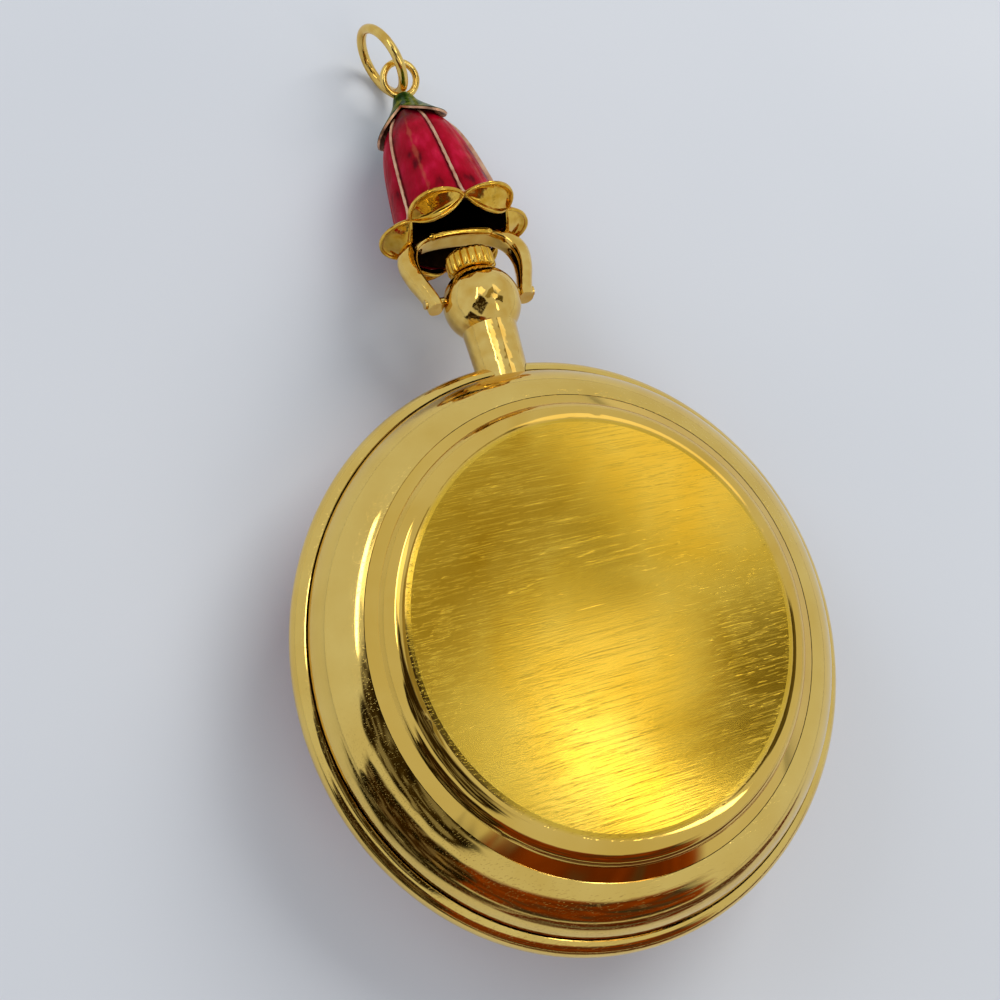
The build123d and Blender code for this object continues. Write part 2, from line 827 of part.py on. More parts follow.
with BuildPart() as minute_wheel:
    with BuildSketch(Plane.XY.offset(minute_level)):
        with Locations(minute_centre):
            gear(minute_teeth, module_motion, facing_gap(minute_bearing, minute_teeth))
    extrude(amount=wheel_thickness)
    with BuildSketch(Plane.XY.offset(hour_level - pinion_gap / 2)):
        with Locations(minute_centre):
            gear(minute_pinion_teeth, module_hour, facing_gap(minute_bearing, minute_pinion_teeth))
    extrude(amount=minute_level - hour_level + pinion_gap / 2)
    with BuildSketch(Plane.XY.offset(movement_front)):
        with Locations(minute_centre):
            Circle(stud_radius + joint_gap)
    extrude(amount=plate_thickness, mode=Mode.SUBTRACT)
keep(minute_wheel, "minute_wheel")

with BuildPart() as hour_wheel:
    with BuildSketch(Plane.XY.offset(hour_level)):
        gear(hour_teeth, module_hour, minute_bearing)
    extrude(amount=wheel_thickness)
    with BuildSketch(Plane.XY.offset(hour_pipe_end)):
        Circle(hour_pipe_radius)
    extrude(amount=hour_level - hour_pipe_end)
    with BuildSketch(Plane.XY.offset(hour_pipe_end)):
        Circle(cannon_radius + running_gap)
    extrude(amount=plate_thickness, mode=Mode.SUBTRACT)
keep(hour_wheel, "hour_wheel")

with BuildPart() as dial_washer:
    with BuildSketch(Plane.XY.offset(movement_front)):
        Circle(2 * hour_pipe_radius)
        Circle(dial_hole_radius, mode=Mode.SUBTRACT)
    extrude(amount=hour_level - movement_front - joint_gap)
keep(dial_washer, "dial_washer")

# Hands at ten past ten. Clockwise from the front is a positive turn about +Z.
hour_hand_length = 7.2
minute_hand_length = 10.6
hand_tail = 2.2
hand_width = 1.1
hub_width_share = 1.7


def leaf_hand(level, length, hub_radius, bore, turn):
    """A leaf hand, pointing turn degrees from +Y, in the open part."""
    with BuildSketch(Plane.XY.offset(level).rotated((0, 0, turn))) as hand_face:
        with BuildLine():
            Spline((0, -hand_tail), (hand_width / 4, 0), (hand_width / 2, length / 2), (0, length))
            Spline((0, length), (-hand_width / 2, length / 2), (-hand_width / 4, 0), (0, -hand_tail))
        make_face()
        Circle(hub_radius)
        Circle(bore, mode=Mode.SUBTRACT)
    extrude(hand_face.sketch, amount=hand_thickness)


hour_turn = 305
minute_turn = 60
with BuildPart() as hour_hand:
    leaf_hand(
        hour_hand_level,
        hour_hand_length,
        hub_width_share * hour_pipe_radius,
        hour_pipe_radius + joint_gap / 2,
        hour_turn,
    )
keep(hour_hand, "hour_hand")

with BuildPart() as minute_hand:
    leaf_hand(
        minute_hand_level,
        minute_hand_length,
        hub_width_share * cannon_radius,
        cannon_radius + joint_gap / 2,
        minute_turn,
    )
keep(minute_hand, "minute_hand")

# Holder ring that centres the movement and presses it to the dial
holder_gap = 0.1
holder_step_height = ring_foot_height - holder_gap
holder_upper_radius = plug_radius - rim_width - holder_gap
clamp_width = 0.6
holder_inner = movement_radius + joint_gap
with BuildPart() as movement_holder:
    with BuildSketch(Plane.XZ):
        with BuildLine():
            Polyline(
                (holder_inner, movement_front),
                (bore_radius - holder_gap, movement_front),
                (bore_radius - holder_gap, holder_step_height),
                (holder_upper_radius, holder_step_height),
                (holder_upper_radius, plug_bottom),
                (holder_inner - clamp_width, plug_bottom),
                (holder_inner - clamp_width, plate_top + joint_gap),
                (holder_inner, plate_top + joint_gap),
                close=True,
            )
        make_face()
    revolve(axis=Axis.Z)
    with BuildSketch(Plane.XZ.offset(-movement_radius + cut_margin)):
        with Locations((0, stem_height)):
            Circle(2 * stem_radius)
    extrude(amount=-(bore_radius - movement_radius + 2 * cut_margin), mode=Mode.SUBTRACT)
keep(movement_holder, "movement_holder")

# Neck tube and ball
ball_foot_cut = sqrt(ball_radius ** 2 - neck_radius_ball ** 2)
neck_bore_radius = 0.7
pipe_bore_radius = pipe_radius + running_gap
pin_hole_depth = 0.7
neck_start = pocket_radius + skirt_gap
neck_end = ball_y - ball_foot_cut
with BuildPart() as neck_tube:
    with BuildSketch(Plane.YZ):
        with BuildLine():
            Polyline(
                (neck_start, stem_height + neck_bore_radius),
                (neck_start, stem_height + neck_radius_case),
                (case_radius, stem_height + neck_radius_case),
                (neck_end, stem_height + neck_radius_ball),
                (neck_end, stem_height + neck_bore_radius),
                close=True,
            )
        make_face()
    revolve(axis=Axis((0, 0, stem_height), (0, 1, 0)))
keep(neck_tube, "neck_tube")

with BuildPart() as neck_ball:
    with BuildSketch(Plane.YZ):
        with BuildLine():
            ball_top_radius = sqrt(ball_radius ** 2 - ball_top_cut ** 2)
            foot = (neck_end, stem_height + neck_radius_ball)
            top = (ball_y + ball_top_cut, stem_height + ball_top_radius)
            ThreePointArc(foot, (ball_y, stem_height + ball_radius), top)
            Polyline(
                top,
                (ball_y + ball_top_cut, stem_height + pipe_bore_radius),
                (ball_y + ball_top_cut - pipe_depth - running_gap, stem_height + pipe_bore_radius),
                (ball_y + ball_top_cut - pipe_depth - running_gap, stem_height + neck_bore_radius),
                (neck_end, stem_height + neck_bore_radius),
                foot,
            )
        make_face()
    revolve(axis=Axis((0, 0, stem_height), (0, 1, 0)))
    with BuildSketch(Plane.YZ.offset(ball_radius - pin_hole_depth)):
        with Locations((pin_y, pin_rise)):
            Circle(pin_radius + running_gap)
    extrude(amount=ball_radius, mode=Mode.SUBTRACT)
    mirror(about=Plane.YZ, mode=Mode.INTERSECT)
keep(neck_ball, "neck_ball")

# Crown with its ribs, pipe and gasket
crown_start = ball_y + ball_top_cut + crown_gap
crown_end = crown_start + crown_length
pipe_end = crown_start - pipe_depth + crown_gap
gasket_inset = 0.5
gasket_length = 0.35
gasket_inner = 0.72
cap_thickness = 0.5
gasket_start = pipe_end + gasket_inset
tap_depth = crown_length - cap_thickness
stem_axis = Axis((0, 0, stem_height), (0, 1, 0))


def at_stem(points):
    """Corners given as distance along the neck and radius, placed about the stem's axis."""
    return [(along, stem_height + radius) for along, radius in points]


with BuildPart() as crown:
    with BuildSketch(Plane.YZ):
        with BuildLine():
            Polyline(
                *at_stem(
                    [
                        (pipe_end, stem_radius),
                        (pipe_end, pipe_radius),
                        (gasket_start, pipe_radius),
                        (gasket_start, gasket_inner),
                        (gasket_start + gasket_length, gasket_inner),
                        (gasket_start + gasket_length, pipe_radius),
                        (crown_start, pipe_radius),
                        (crown_start, crown_radius),
                        (crown_end - crown_chamfer, crown_radius),
                        (crown_end, crown_radius - crown_chamfer),
                        (crown_end, 0),
                        (crown_start + tap_depth, 0),
                        (crown_start + tap_depth, stem_radius),
                    ]
                ),
                close=True,
            )
        make_face()
    revolve(axis=stem_axis)
    with BuildSketch(Plane.XZ.offset(-crown_start)):
        with Locations((0, stem_height)):
            with PolarLocations(crown_radius, crown_ribs):
                Circle(crown_rib_radius)
            Circle(pipe_radius + crown_gap, mode=Mode.SUBTRACT)
    extrude(amount=-(crown_length - crown_chamfer))
keep(crown, "crown")

with BuildPart() as crown_gasket:
    with BuildSketch(Plane.XZ.offset(-gasket_start)):
        with Locations((0, stem_height)):
            Circle(pipe_radius + running_gap / 2)
            Circle(gasket_inner, mode=Mode.SUBTRACT)
    extrude(amount=-gasket_length)
keep(crown_gasket, "crown_gasket")

# Setting stem with its pinion, and the lever whose pin rides in the stem's groove
groove_middle = lever_pivot[1] - crown_travel / 2
lever_pin_radius = 0.12
lever_gap = 0.05
stem_neck_radius = 0.25
stem_pinion_teeth = 10
stem_groove_half = lever_pin_radius + lever_gap
with BuildPart() as setting_stem:
    with BuildSketch(Plane.YZ):
        with BuildLine():
            Polyline(
                *at_stem(
                    [
                        (pinion_rest_y, 0),
                        (pinion_rest_y, pinion_radius / 2),
                        (pinion_rest_y + pinion_length, pinion_radius / 2),
                        (pinion_rest_y + pinion_length, stem_radius - joint_gap),
                        (groove_middle - stem_groove_half, stem_radius - joint_gap),
                        (groove_middle - stem_groove_half, stem_neck_radius),
                        (groove_middle + stem_groove_half, stem_neck_radius),
                        (groove_middle + stem_groove_half, stem_radius - joint_gap),
                        (crown_start + tap_depth - joint_gap, stem_radius - joint_gap),
                        (crown_start + tap_depth - joint_gap, 0),
                    ]
                ),
                close=True,
            )
        make_face()
    revolve(axis=stem_axis)
    with BuildSketch(Plane.XZ.offset(-pinion_rest_y)):
        with Locations((0, stem_height)):
            with PolarLocations(0, stem_pinion_teeth):
                Polygon(
                    (pinion_radius / 3, -lever_pin_radius),
                    (pinion_radius, -lever_gap),
                    (pinion_radius, lever_gap),
                    (pinion_radius / 3, lever_pin_radius),
                    align=None,
                )
    extrude(amount=-pinion_length)
keep(setting_stem, "setting_stem")

lever_bottom = stem_height + stem_radius + lever_gap
lever_thickness = 0.2
lever_width = 1.0
lever_boss_share = 0.7
with BuildPart() as setting_lever:
    with BuildSketch(Plane.XY.offset(lever_bottom)):
        bar(lever_pivot, (0, groove_middle), lever_width)
        with Locations(lever_pivot):
            Circle(lever_width * lever_boss_share)
            Circle(lever_stud_radius + joint_gap, mode=Mode.SUBTRACT)
    extrude(amount=lever_thickness)
    with BuildSketch(Plane.XY.offset(lever_bottom)):
        with Locations((0, groove_middle)):
            Circle(lever_pin_radius)
    extrude(amount=-(stem_radius - stem_neck_radius))
keep(setting_lever, "setting_lever")

spring_width = 0.25
spring_height = 0.35
spring_start = (-9.4, 4.6)
spring_mid = (-6.9, 8.5)
spring_end = (-5.0, 8.9)
with BuildPart() as detent_spring:
    with BuildSketch(Plane.XY.offset(plate_top)):
        bar(spring_start, spring_mid, spring_width)
        bar(spring_mid, spring_end, spring_width)
        with Locations(spring_start):
            Circle(2 * spring_width)
    extrude(amount=spring_height)
keep(detent_spring, "detent_spring")

# Frame of the flower: its axis leaves the ball's centre and droops towards the table
ball_centre = Vector(0, ball_y, stem_height)
flower_along = Vector(0, cos(radians(droop)), -sin(radians(droop)))
flower_up = Vector(0, sin(radians(droop)), cos(radians(droop)))
flower = Plane(origin=ball_centre, x_dir=(1, 0, 0), z_dir=flower_along)
flower_axis = Axis(ball_centre, flower_along)
side_plane = Plane(origin=ball_centre, x_dir=(1, 0, 0), z_dir=flower_up)


def meridian(turn):
    """The half plane through the flower's axis at turn degrees, as (radius, distance along)."""
    across = Vector(1, 0, 0) * cos(radians(turn)) - flower_up * sin(radians(turn))
    return Plane(origin=ball_centre, x_dir=across, z_dir=across.cross(flower_along))


# Bow: a flat arch over the crown with two arms down to the ball's sides
arm_outer = bow_half_width + arm_width
bow_outer_reach = bow_inner_reach + bow_thickness
bow_outer_shares = [(0.5, 0.975), (0.83, 0.9), (1.1, 0.76), (1.2, 0.6), (1.16, 0.4), (1.07, 0.22)]
bow_inner_shares = [(1.06, 0.23), (1.18, 0.41), (1.21, 0.6), (1.14, 0.77), (0.92, 0.9), (0.5, 0.975)]
with BuildPart() as bow:
    with BuildSketch(side_plane):
        with BuildLine() as bow_outline:
            outer_points = [(arm_outer * x, bow_outer_reach * y) for x, y in bow_outer_shares]
            inner_points = [(bow_half_width * x, bow_inner_reach * y) for x, y in bow_inner_shares]
            outer_end = (arm_outer, pin_station)
            inner_end = (bow_half_width, pin_station)
            foot_end = (bow_half_width + arm_width / 2, pin_station - arm_width / 2)
            Spline((0, bow_outer_reach), *outer_points, outer_end, tangents=((1, 0), (0, -1)))
            ThreePointArc(outer_end, foot_end, inner_end)
            Spline(inner_end, *inner_points, (0, bow_inner_reach), tangents=((0, 1), (-1, 0)))
            mirror(about=Plane(origin=ball_centre, x_dir=flower_along, z_dir=(1, 0, 0)))
        make_face()
    extrude(amount=bow_depth / 2, both=True)
    with BuildSketch(Plane.YZ):
        with Locations((pin_y, pin_rise)):
            Circle(pin_radius + joint_gap)
    extrude(amount=case_radius, both=True, mode=Mode.SUBTRACT)
keep(bow, "bow")

# Pins that hang the bow on the ball
pin_reach = ball_radius - pin_hole_depth + running_gap
with BuildPart() as bow_pins:
    with BuildSketch(Plane.YZ.offset(pin_reach)):
        with Locations((pin_y, pin_rise)):
            Circle(pin_radius)
    extrude(amount=arm_outer - pin_reach - joint_gap)
    mirror(about=Plane.YZ)
keep(bow_pins, "bow_pins")

# Bell of the flower: radius against distance along, as shares of its mouth and its length
bell_shares = [
    (0, 1),
    (0.134, 0.972),
    (0.252, 0.934),
    (0.37, 0.893),
    (0.528, 0.825),
    (0.66, 0.727),
    (0.75, 0.615),
    (0.85, 0.44),
]
bell_top_shares = [(0.85, 0.44), (0.93, 0.31), (1, 0.19)]
rib_angle = 6
rib_turn = petal_turn + 180 / petals
rib_rise = 0.1
post_radius = 0.5


def bell_points(shares, inset):
    """Points of the bell's outline, inset from its outer surface."""
    return [
        (bell_mouth_radius * across - inset, bell_start + bell_length * along)
        for along, across in shares
    ]


with BuildPart() as bell_shell:
    with BuildSketch(meridian(0)):
        with BuildLine():
            skin = bell_points(bell_shares, enamel_depth)
            top = bell_points(bell_top_shares, enamel_depth)
            inner = bell_points(bell_shares, bell_wall)
            crown_point = (post_radius + joint_gap, bell_start + bell_length)
            ceiling = (post_radius + joint_gap, bell_start + bell_length - 2 * bell_wall)
            Spline(*skin)
            Polyline(*top, crown_point, ceiling, inner[-1])
            Spline(*inner)
            Line(inner[0], skin[0])
        make_face()
    revolve(axis=flower_axis)
    for turn in range(petals):
        with BuildSketch(meridian(rib_turn - rib_angle / 2 + turn * 360 / petals)):
            with BuildLine():
                ridge = bell_points(bell_shares, -rib_rise)
                root = bell_points(bell_shares, (enamel_depth + bell_wall) / 2)
                Spline(*ridge)
                Line(ridge[-1], root[-1])
                Spline(*root)
                Line(root[0], ridge[0])
            make_face()
        revolve(axis=flower_axis, revolution_arc=rib_angle)

# Gold petal tips: lips rolled back out of the mouth, cut to rounded lobes with notches between
tip_thickness = 0.35
tip_bulge = 0.18
lobe_radius = 2.03
notch_radius = 0.8
lobe_centre = tip_reach - lobe_radius - joint_gap
with BuildPart() as petal_tips:
    with BuildSketch(meridian(0)):
        with BuildLine():
            mouth = (bell_mouth_radius, bell_start)
            mouth_inner = (bell_mouth_radius - bell_wall, bell_start)
            tip_inner = (tip_inner_radius, tip_inner_station)
            tip_front = (tip_reach, tip_station)
            tip_back = (tip_reach - tip_thickness / 2, tip_station + tip_thickness)
            ThreePointArc(tip_inner, bulged(tip_inner, tip_front, tip_bulge), tip_front)
            Line(tip_front, tip_back)
            ThreePointArc(tip_back, bulged(tip_back, mouth, -tip_bulge), mouth)
            Polyline(mouth, mouth_inner, tip_inner)
        make_face()
    revolve(axis=flower_axis)
    with BuildSketch(flower.offset(tip_inner_station - cut_margin)):
        with PolarLocations(lobe_centre, petals, start_angle=petal_turn):
            Circle(lobe_radius)
    extrude(amount=bell_start, mode=Mode.INTERSECT)
    for petal in range(petals):
        across = Vector(1, 0, 0).rotate(Axis((0, 0, 0), flower_along), rib_turn + petal * 360 / petals)
        notch_origin = ball_centre + flower_along * tip_inner_station
        with BuildSketch(Plane(origin=notch_origin, x_dir=flower_along, z_dir=across)):
            Circle(notch_radius)
        extrude(amount=tip_reach, mode=Mode.SUBTRACT)

# The bow is soldered into the mouth, so the bell is cut round it
with BuildPart() as bell:
    add(bell_shell.part)
    add(petal_tips.part)
    add(bow.part, mode=Mode.SUBTRACT)
keep(bell, "bell")

with BuildPart() as petal_enamel:
    for turn in range(petals):
        with BuildSketch(meridian(rib_turn + rib_angle / 2 + turn * 360 / petals)):
            with BuildLine():
                outer = bell_points(bell_shares, 0)
                inner = bell_points(bell_shares, enamel_depth)
                Spline(*outer)
                Line(outer[-1], inner[-1])
                Spline(*inner)
                Line(inner[0], outer[0])
            make_face()
        revolve(axis=flower_axis, revolution_arc=360 / petals - rib_angle)
keep(petal_enamel, "petal_enamel")

# Calyx: a flared cap of leaves over the bell's top, with its layer of enamel
calyx_thickness = 0.25
calyx_station = 15.7
calyx_length = 4.3
calyx_reach = 3.0
calyx_shares = [(0, 1), (0.163, 0.873), (0.372, 0.7), (0.565, 0.533), (0.767, 0.407), (1, 0.317)]
leaf_shares = [1, 0.93, 0.765, 0.52, 0.765, 0.93]
leaf_enamel_thickness = 0.1
leaf_border = 0.18


def calyx_points(outset):
    """Points of the calyx's outline, outset from its outer surface."""
    return [
        (calyx_reach * across + outset, calyx_station + calyx_length * along)
        for along, across in calyx_shares
    ]


def leaf_star(inset):
    """The plan of the leaves in the open sketch."""
    corners = []
    for corner in range(leaves * len(leaf_shares)):
        radius = calyx_reach * leaf_shares[corner % len(leaf_shares)] - inset
        bearing = leaf_turn + corner * 360 / (leaves * len(leaf_shares))
        corners.append(step_from((0, 0), radius, bearing))
    Polygon(*corners, align=None)


with BuildPart() as calyx:
    with BuildSketch(meridian(0)):
        with BuildLine():
            outer = calyx_points(0)
            inner = calyx_points(-calyx_thickness)
            Spline(*outer)
            Line(outer[-1], (post_radius + joint_gap, outer[-1][1]))
            Line((post_radius + joint_gap, outer[-1][1]), (post_radius + joint_gap, inner[-2][1]))
            Line((post_radius + joint_gap, inner[-2][1]), inner[-2])
            Spline(*inner[:-1])
            Line(inner[0], outer[0])
        make_face()
    revolve(axis=flower_axis)
    with BuildSketch(flower.offset(calyx_station - cut_margin)):
        leaf_star(0)
    extrude(amount=calyx_length + 2 * cut_margin, mode=Mode.INTERSECT)
keep(calyx, "calyx")

with BuildPart() as calyx_enamel:
    with BuildSketch(meridian(0)):
        with BuildLine():
            outer = calyx_points(leaf_enamel_thickness)
            inner = calyx_points(0)
            Spline(*outer)
            Line(outer[-1], inner[-1])
            Spline(*inner)
            Line(inner[0], outer[0])
        make_face()
    revolve(axis=flower_axis)
    with BuildSketch(flower.offset(calyx_station - cut_margin)):
        leaf_star(leaf_border)
    extrude(amount=calyx_length + 2 * cut_margin, mode=Mode.INTERSECT)
keep(calyx_enamel, "calyx_enamel")

# Post from the bow's arch through the bell, and the eye loop that stands on its end
loop_foot_radius = 0.48
loop_lean = 38
calyx_top = calyx_station + calyx_length
with BuildPart() as bell_post:
    with BuildSketch(flower.offset(bow_outer_reach)):
        Circle(post_radius)
    extrude(amount=calyx_top - bow_outer_reach)
keep(bell_post, "bell_post")

loop_foot_station = calyx_top + loop_foot_radius - loop_wire / 4
loop_along = flower_along * cos(radians(loop_lean)) + flower_up * sin(radians(loop_lean))
loop_normal = flower_up * cos(radians(loop_lean)) - flower_along * sin(radians(loop_lean))
loop_foot = flower.origin + flower_along * loop_foot_station
loop_centre = loop_foot + loop_along * loop_radius
loop_plane = Plane(origin=loop_centre, x_dir=loop_along, z_dir=loop_normal)
with BuildPart() as eye_loop:
    with Locations(loop_plane):
        Torus(loop_radius, loop_wire / 2)
    with BuildSketch(flower.offset(calyx_top)):
        Circle(loop_foot_radius)
    extrude(amount=loop_foot_station - calyx_top)
keep(eye_loop, "eye_loop")

# Jump ring, standing on its edge with one limb through the loop
link_turn = 160
link_clearance = 0.13
link_gap = (loop_wire + ring_wire) / 2 + link_clearance
ring_bearing = 114.5
ring_lean = 5
link_reach = loop_radius - link_gap
link_side = Vector(1, 0, 0) * sin(radians(link_turn)) + loop_along * cos(radians(link_turn))
link_point = loop_centre + link_side * link_reach
ring_across = Vector(cos(radians(ring_bearing)), sin(radians(ring_bearing)), 0)
ring_flat = ring_across.cross(Vector(0, 0, 1))
ring_normal = ring_flat * cos(radians(ring_lean)) + Vector(0, 0, 1) * sin(radians(ring_lean))
ring_centre = link_point + ring_across * ring_radius
with BuildPart() as jump_ring:
    with Locations(Plane(origin=ring_centre, x_dir=ring_across, z_dir=ring_normal)):
        Torus(ring_radius, ring_wire / 2)
keep(jump_ring, "jump_ring")
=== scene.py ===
import json
from math import atan2, cos, degrees, hypot, pi, radians, sin

import bpy
from mathutils import Matrix, Vector


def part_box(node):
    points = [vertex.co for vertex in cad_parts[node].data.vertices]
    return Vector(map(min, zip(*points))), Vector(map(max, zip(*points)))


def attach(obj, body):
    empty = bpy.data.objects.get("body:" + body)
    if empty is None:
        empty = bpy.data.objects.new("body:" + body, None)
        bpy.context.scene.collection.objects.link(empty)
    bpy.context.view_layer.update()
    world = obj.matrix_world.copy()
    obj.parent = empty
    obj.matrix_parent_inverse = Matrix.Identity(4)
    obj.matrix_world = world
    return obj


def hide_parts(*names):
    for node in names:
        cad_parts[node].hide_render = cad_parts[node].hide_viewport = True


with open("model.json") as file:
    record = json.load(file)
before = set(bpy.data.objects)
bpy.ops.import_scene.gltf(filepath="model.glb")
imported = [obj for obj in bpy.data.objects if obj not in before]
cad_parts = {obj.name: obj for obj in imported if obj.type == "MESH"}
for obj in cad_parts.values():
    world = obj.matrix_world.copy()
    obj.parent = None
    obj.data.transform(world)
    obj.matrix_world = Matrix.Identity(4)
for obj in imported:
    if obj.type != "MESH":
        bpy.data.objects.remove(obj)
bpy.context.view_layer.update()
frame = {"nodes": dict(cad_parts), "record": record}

MM = 0.001

# Places that shapes and finishes share, in mm and degrees
back_seam_radius = 13.44
disc_radius = 11.4
flower_droop = 11
ball_middle = Vector((0, 21.77, 6.65))


# Materials

def linear(code):
    """An sRGB hex colour as the linear RGBA that a shader takes."""
    parts = [int(code[at:at + 2], 16) / 255 for at in (1, 3, 5)]
    flat = [part / 12.92 if part <= 0.04045 else ((part + 0.055) / 1.055) ** 2.4 for part in parts]
    return (*flat, 1)


def give(tree, socket, value):
    """Set a socket to a number or a hex colour, or link it to an output or a node's first one."""
    if isinstance(value, bpy.types.Node):
        value = next(output for output in value.outputs if output.enabled)
    if isinstance(value, bpy.types.NodeSocket):
        tree.links.new(value, socket)
    else:
        socket.default_value = linear(value) if isinstance(value, str) else value


def add(tree, kind, inputs=None, stops=None, **settings):
    """Add a node with its settings, its values and links and its colour stops, and give it back."""
    made = tree.nodes.new("ShaderNode" + kind)
    for name, value in settings.items():
        setattr(made, name, value)
    for socket, value in (inputs or {}).items():
        give(tree, made.inputs[socket], value)
    if stops:
        marks = made.color_ramp.elements
        while len(marks) < len(stops):
            marks.new(0.5)
        for mark, (at, colour) in zip(marks, stops):
            mark.position = at
            mark.color = linear(colour) if isinstance(colour, str) else (colour, colour, colour, 1)
    return made


def finish_material(name, constants, build):
    """A material whose constants sit on the shader and whose pattern comes from build."""
    made = bpy.data.materials.new(name)
    made.use_nodes = True
    tree = made.node_tree
    shader = tree.nodes["Principled BSDF"]
    for socket, value in constants.items():
        shader.inputs[socket].default_value = value
    place = add(tree, "TexCoord").outputs["Object"]
    for socket, value in build(tree, place).items():
        give(tree, shader.inputs[socket], value)
    return made


def every(size_mm):
    """The scale of a pattern whose blotches or lines are about size_mm wide."""
    return 1 / (size_mm * MM)


def grain(tree, place, size_mm, detail=3.0, distortion=0.0):
    """Cloudy blotches about size_mm wide."""
    return add(tree, "TexNoise", {
        "Vector": place, "Scale": every(size_mm), "Detail": detail, "Distortion": distortion,
    })


def streaks(tree, place, turn, length_mm, width_mm, detail=2.0):
    """Noise drawn out into lines that lie turn degrees from X in the plane of the case."""
    turned = add(tree, "Mapping", {
        "Vector": place,
        "Rotation": (0, 0, radians(-turn)),
        "Scale": (every(length_mm), every(width_mm), every(width_mm)),
    })
    return add(tree, "TexNoise", {"Vector": turned, "Scale": 1, "Detail": detail})


def scratches(tree, place, angles, length_mm, width_mm, share):
    """Sparse fine lines at several angles: 1 in a scratch and 0 on the untouched surface."""
    total = None
    for angle in angles:
        line = streaks(tree, place, angle, length_mm, width_mm, detail=0.0)
        cut = add(tree, "ValToRGB", {"Fac": line}, stops=[(1 - share, 0.0), (1 - share + 0.03, 1.0)])
        total = add(tree, "Math", {0: total, 1: cut}, operation="MAXIMUM") if total else cut
    return total


def along_flower(tree, place, length_mm, width_mm):
    """Noise drawn out along the flower's drooping axis."""
    turned = add(tree, "Mapping", {
        "Vector": place,
        "Rotation": (radians(flower_droop), 0, 0),
        "Scale": (every(width_mm), every(length_mm), every(width_mm)),
    })
    return add(tree, "TexNoise", {"Vector": turned, "Scale": 1, "Detail": 3})


def off_axis(tree, place):
    """How far a point lies from the axis of the case."""
    flat = add(tree, "VectorMath", {0: place, 1: (1, 1, 0)}, operation="MULTIPLY")
    return add(tree, "VectorMath", {0: flat}, operation="LENGTH")


def from_to(tree, distance, start_mm, end_mm):
    """0 before start_mm and 1 past end_mm, with an even passage between."""
    return add(tree, "MapRange", {
        "Value": distance, "From Min": start_mm * MM, "From Max": end_mm * MM,
    })


def polished_gold(tree, place):
    # Gold plate buffed on a mop: clear reflections, a faint cloud of wear, hair-fine scratches,
    # and small dents where a knife has opened the seam of the back.
    wear = grain(tree, place, size_mm=4, detail=4)
    fine = scratches(tree, place, angles=(12, 75, 140), length_mm=6, width_mm=0.05, share=0.24)
    haze = add(tree, "MapRange", {"Value": wear, "To Min": 0.03, "To Max": 0.1})
    radius = off_axis(tree, place)
    past_seam = add(tree, "Math", {0: radius, 1: back_seam_radius * MM}, operation="SUBTRACT")
    off_seam = add(tree, "Math", {0: past_seam}, operation="ABSOLUTE")
    by_seam = from_to(tree, off_seam, start_mm=0.9, end_mm=0.3)
    towards = add(tree, "VectorMath", {0: place, 1: (0.6, 0.8, 0)}, operation="DOT_PRODUCT")
    pried = from_to(tree, towards, start_mm=7, end_mm=10)
    nicks = add(tree, "ValToRGB", {"Fac": grain(tree, place, size_mm=0.45, detail=2)},
                stops=[(0.56, 0.0), (0.62, 1.0)])
    dents = add(tree, "Math", {
        0: add(tree, "Math", {0: nicks, 1: pried}, operation="MULTIPLY"), 1: by_seam,
    }, operation="MULTIPLY")
    buffed = add(tree, "Math", {0: grain(tree, place, size_mm=1.5), 1: fine}, operation="SUBTRACT")
    height = add(tree, "Math", {0: dents, 1: -12, 2: buffed}, operation="MULTIPLY_ADD")
    return {
        "Base Color": add(tree, "ValToRGB", {"Fac": wear}, stops=[(0.3, "#E4BE5E"), (0.7, "#EFCD70")]),
        "Roughness": add(tree, "Math", {0: fine, 1: 0.05, 2: haze}, operation="MULTIPLY_ADD"),
        "Normal": add(tree, "Bump", {"Height": height, "Distance": 0.004 * MM, "Strength": 0.35}),
    }


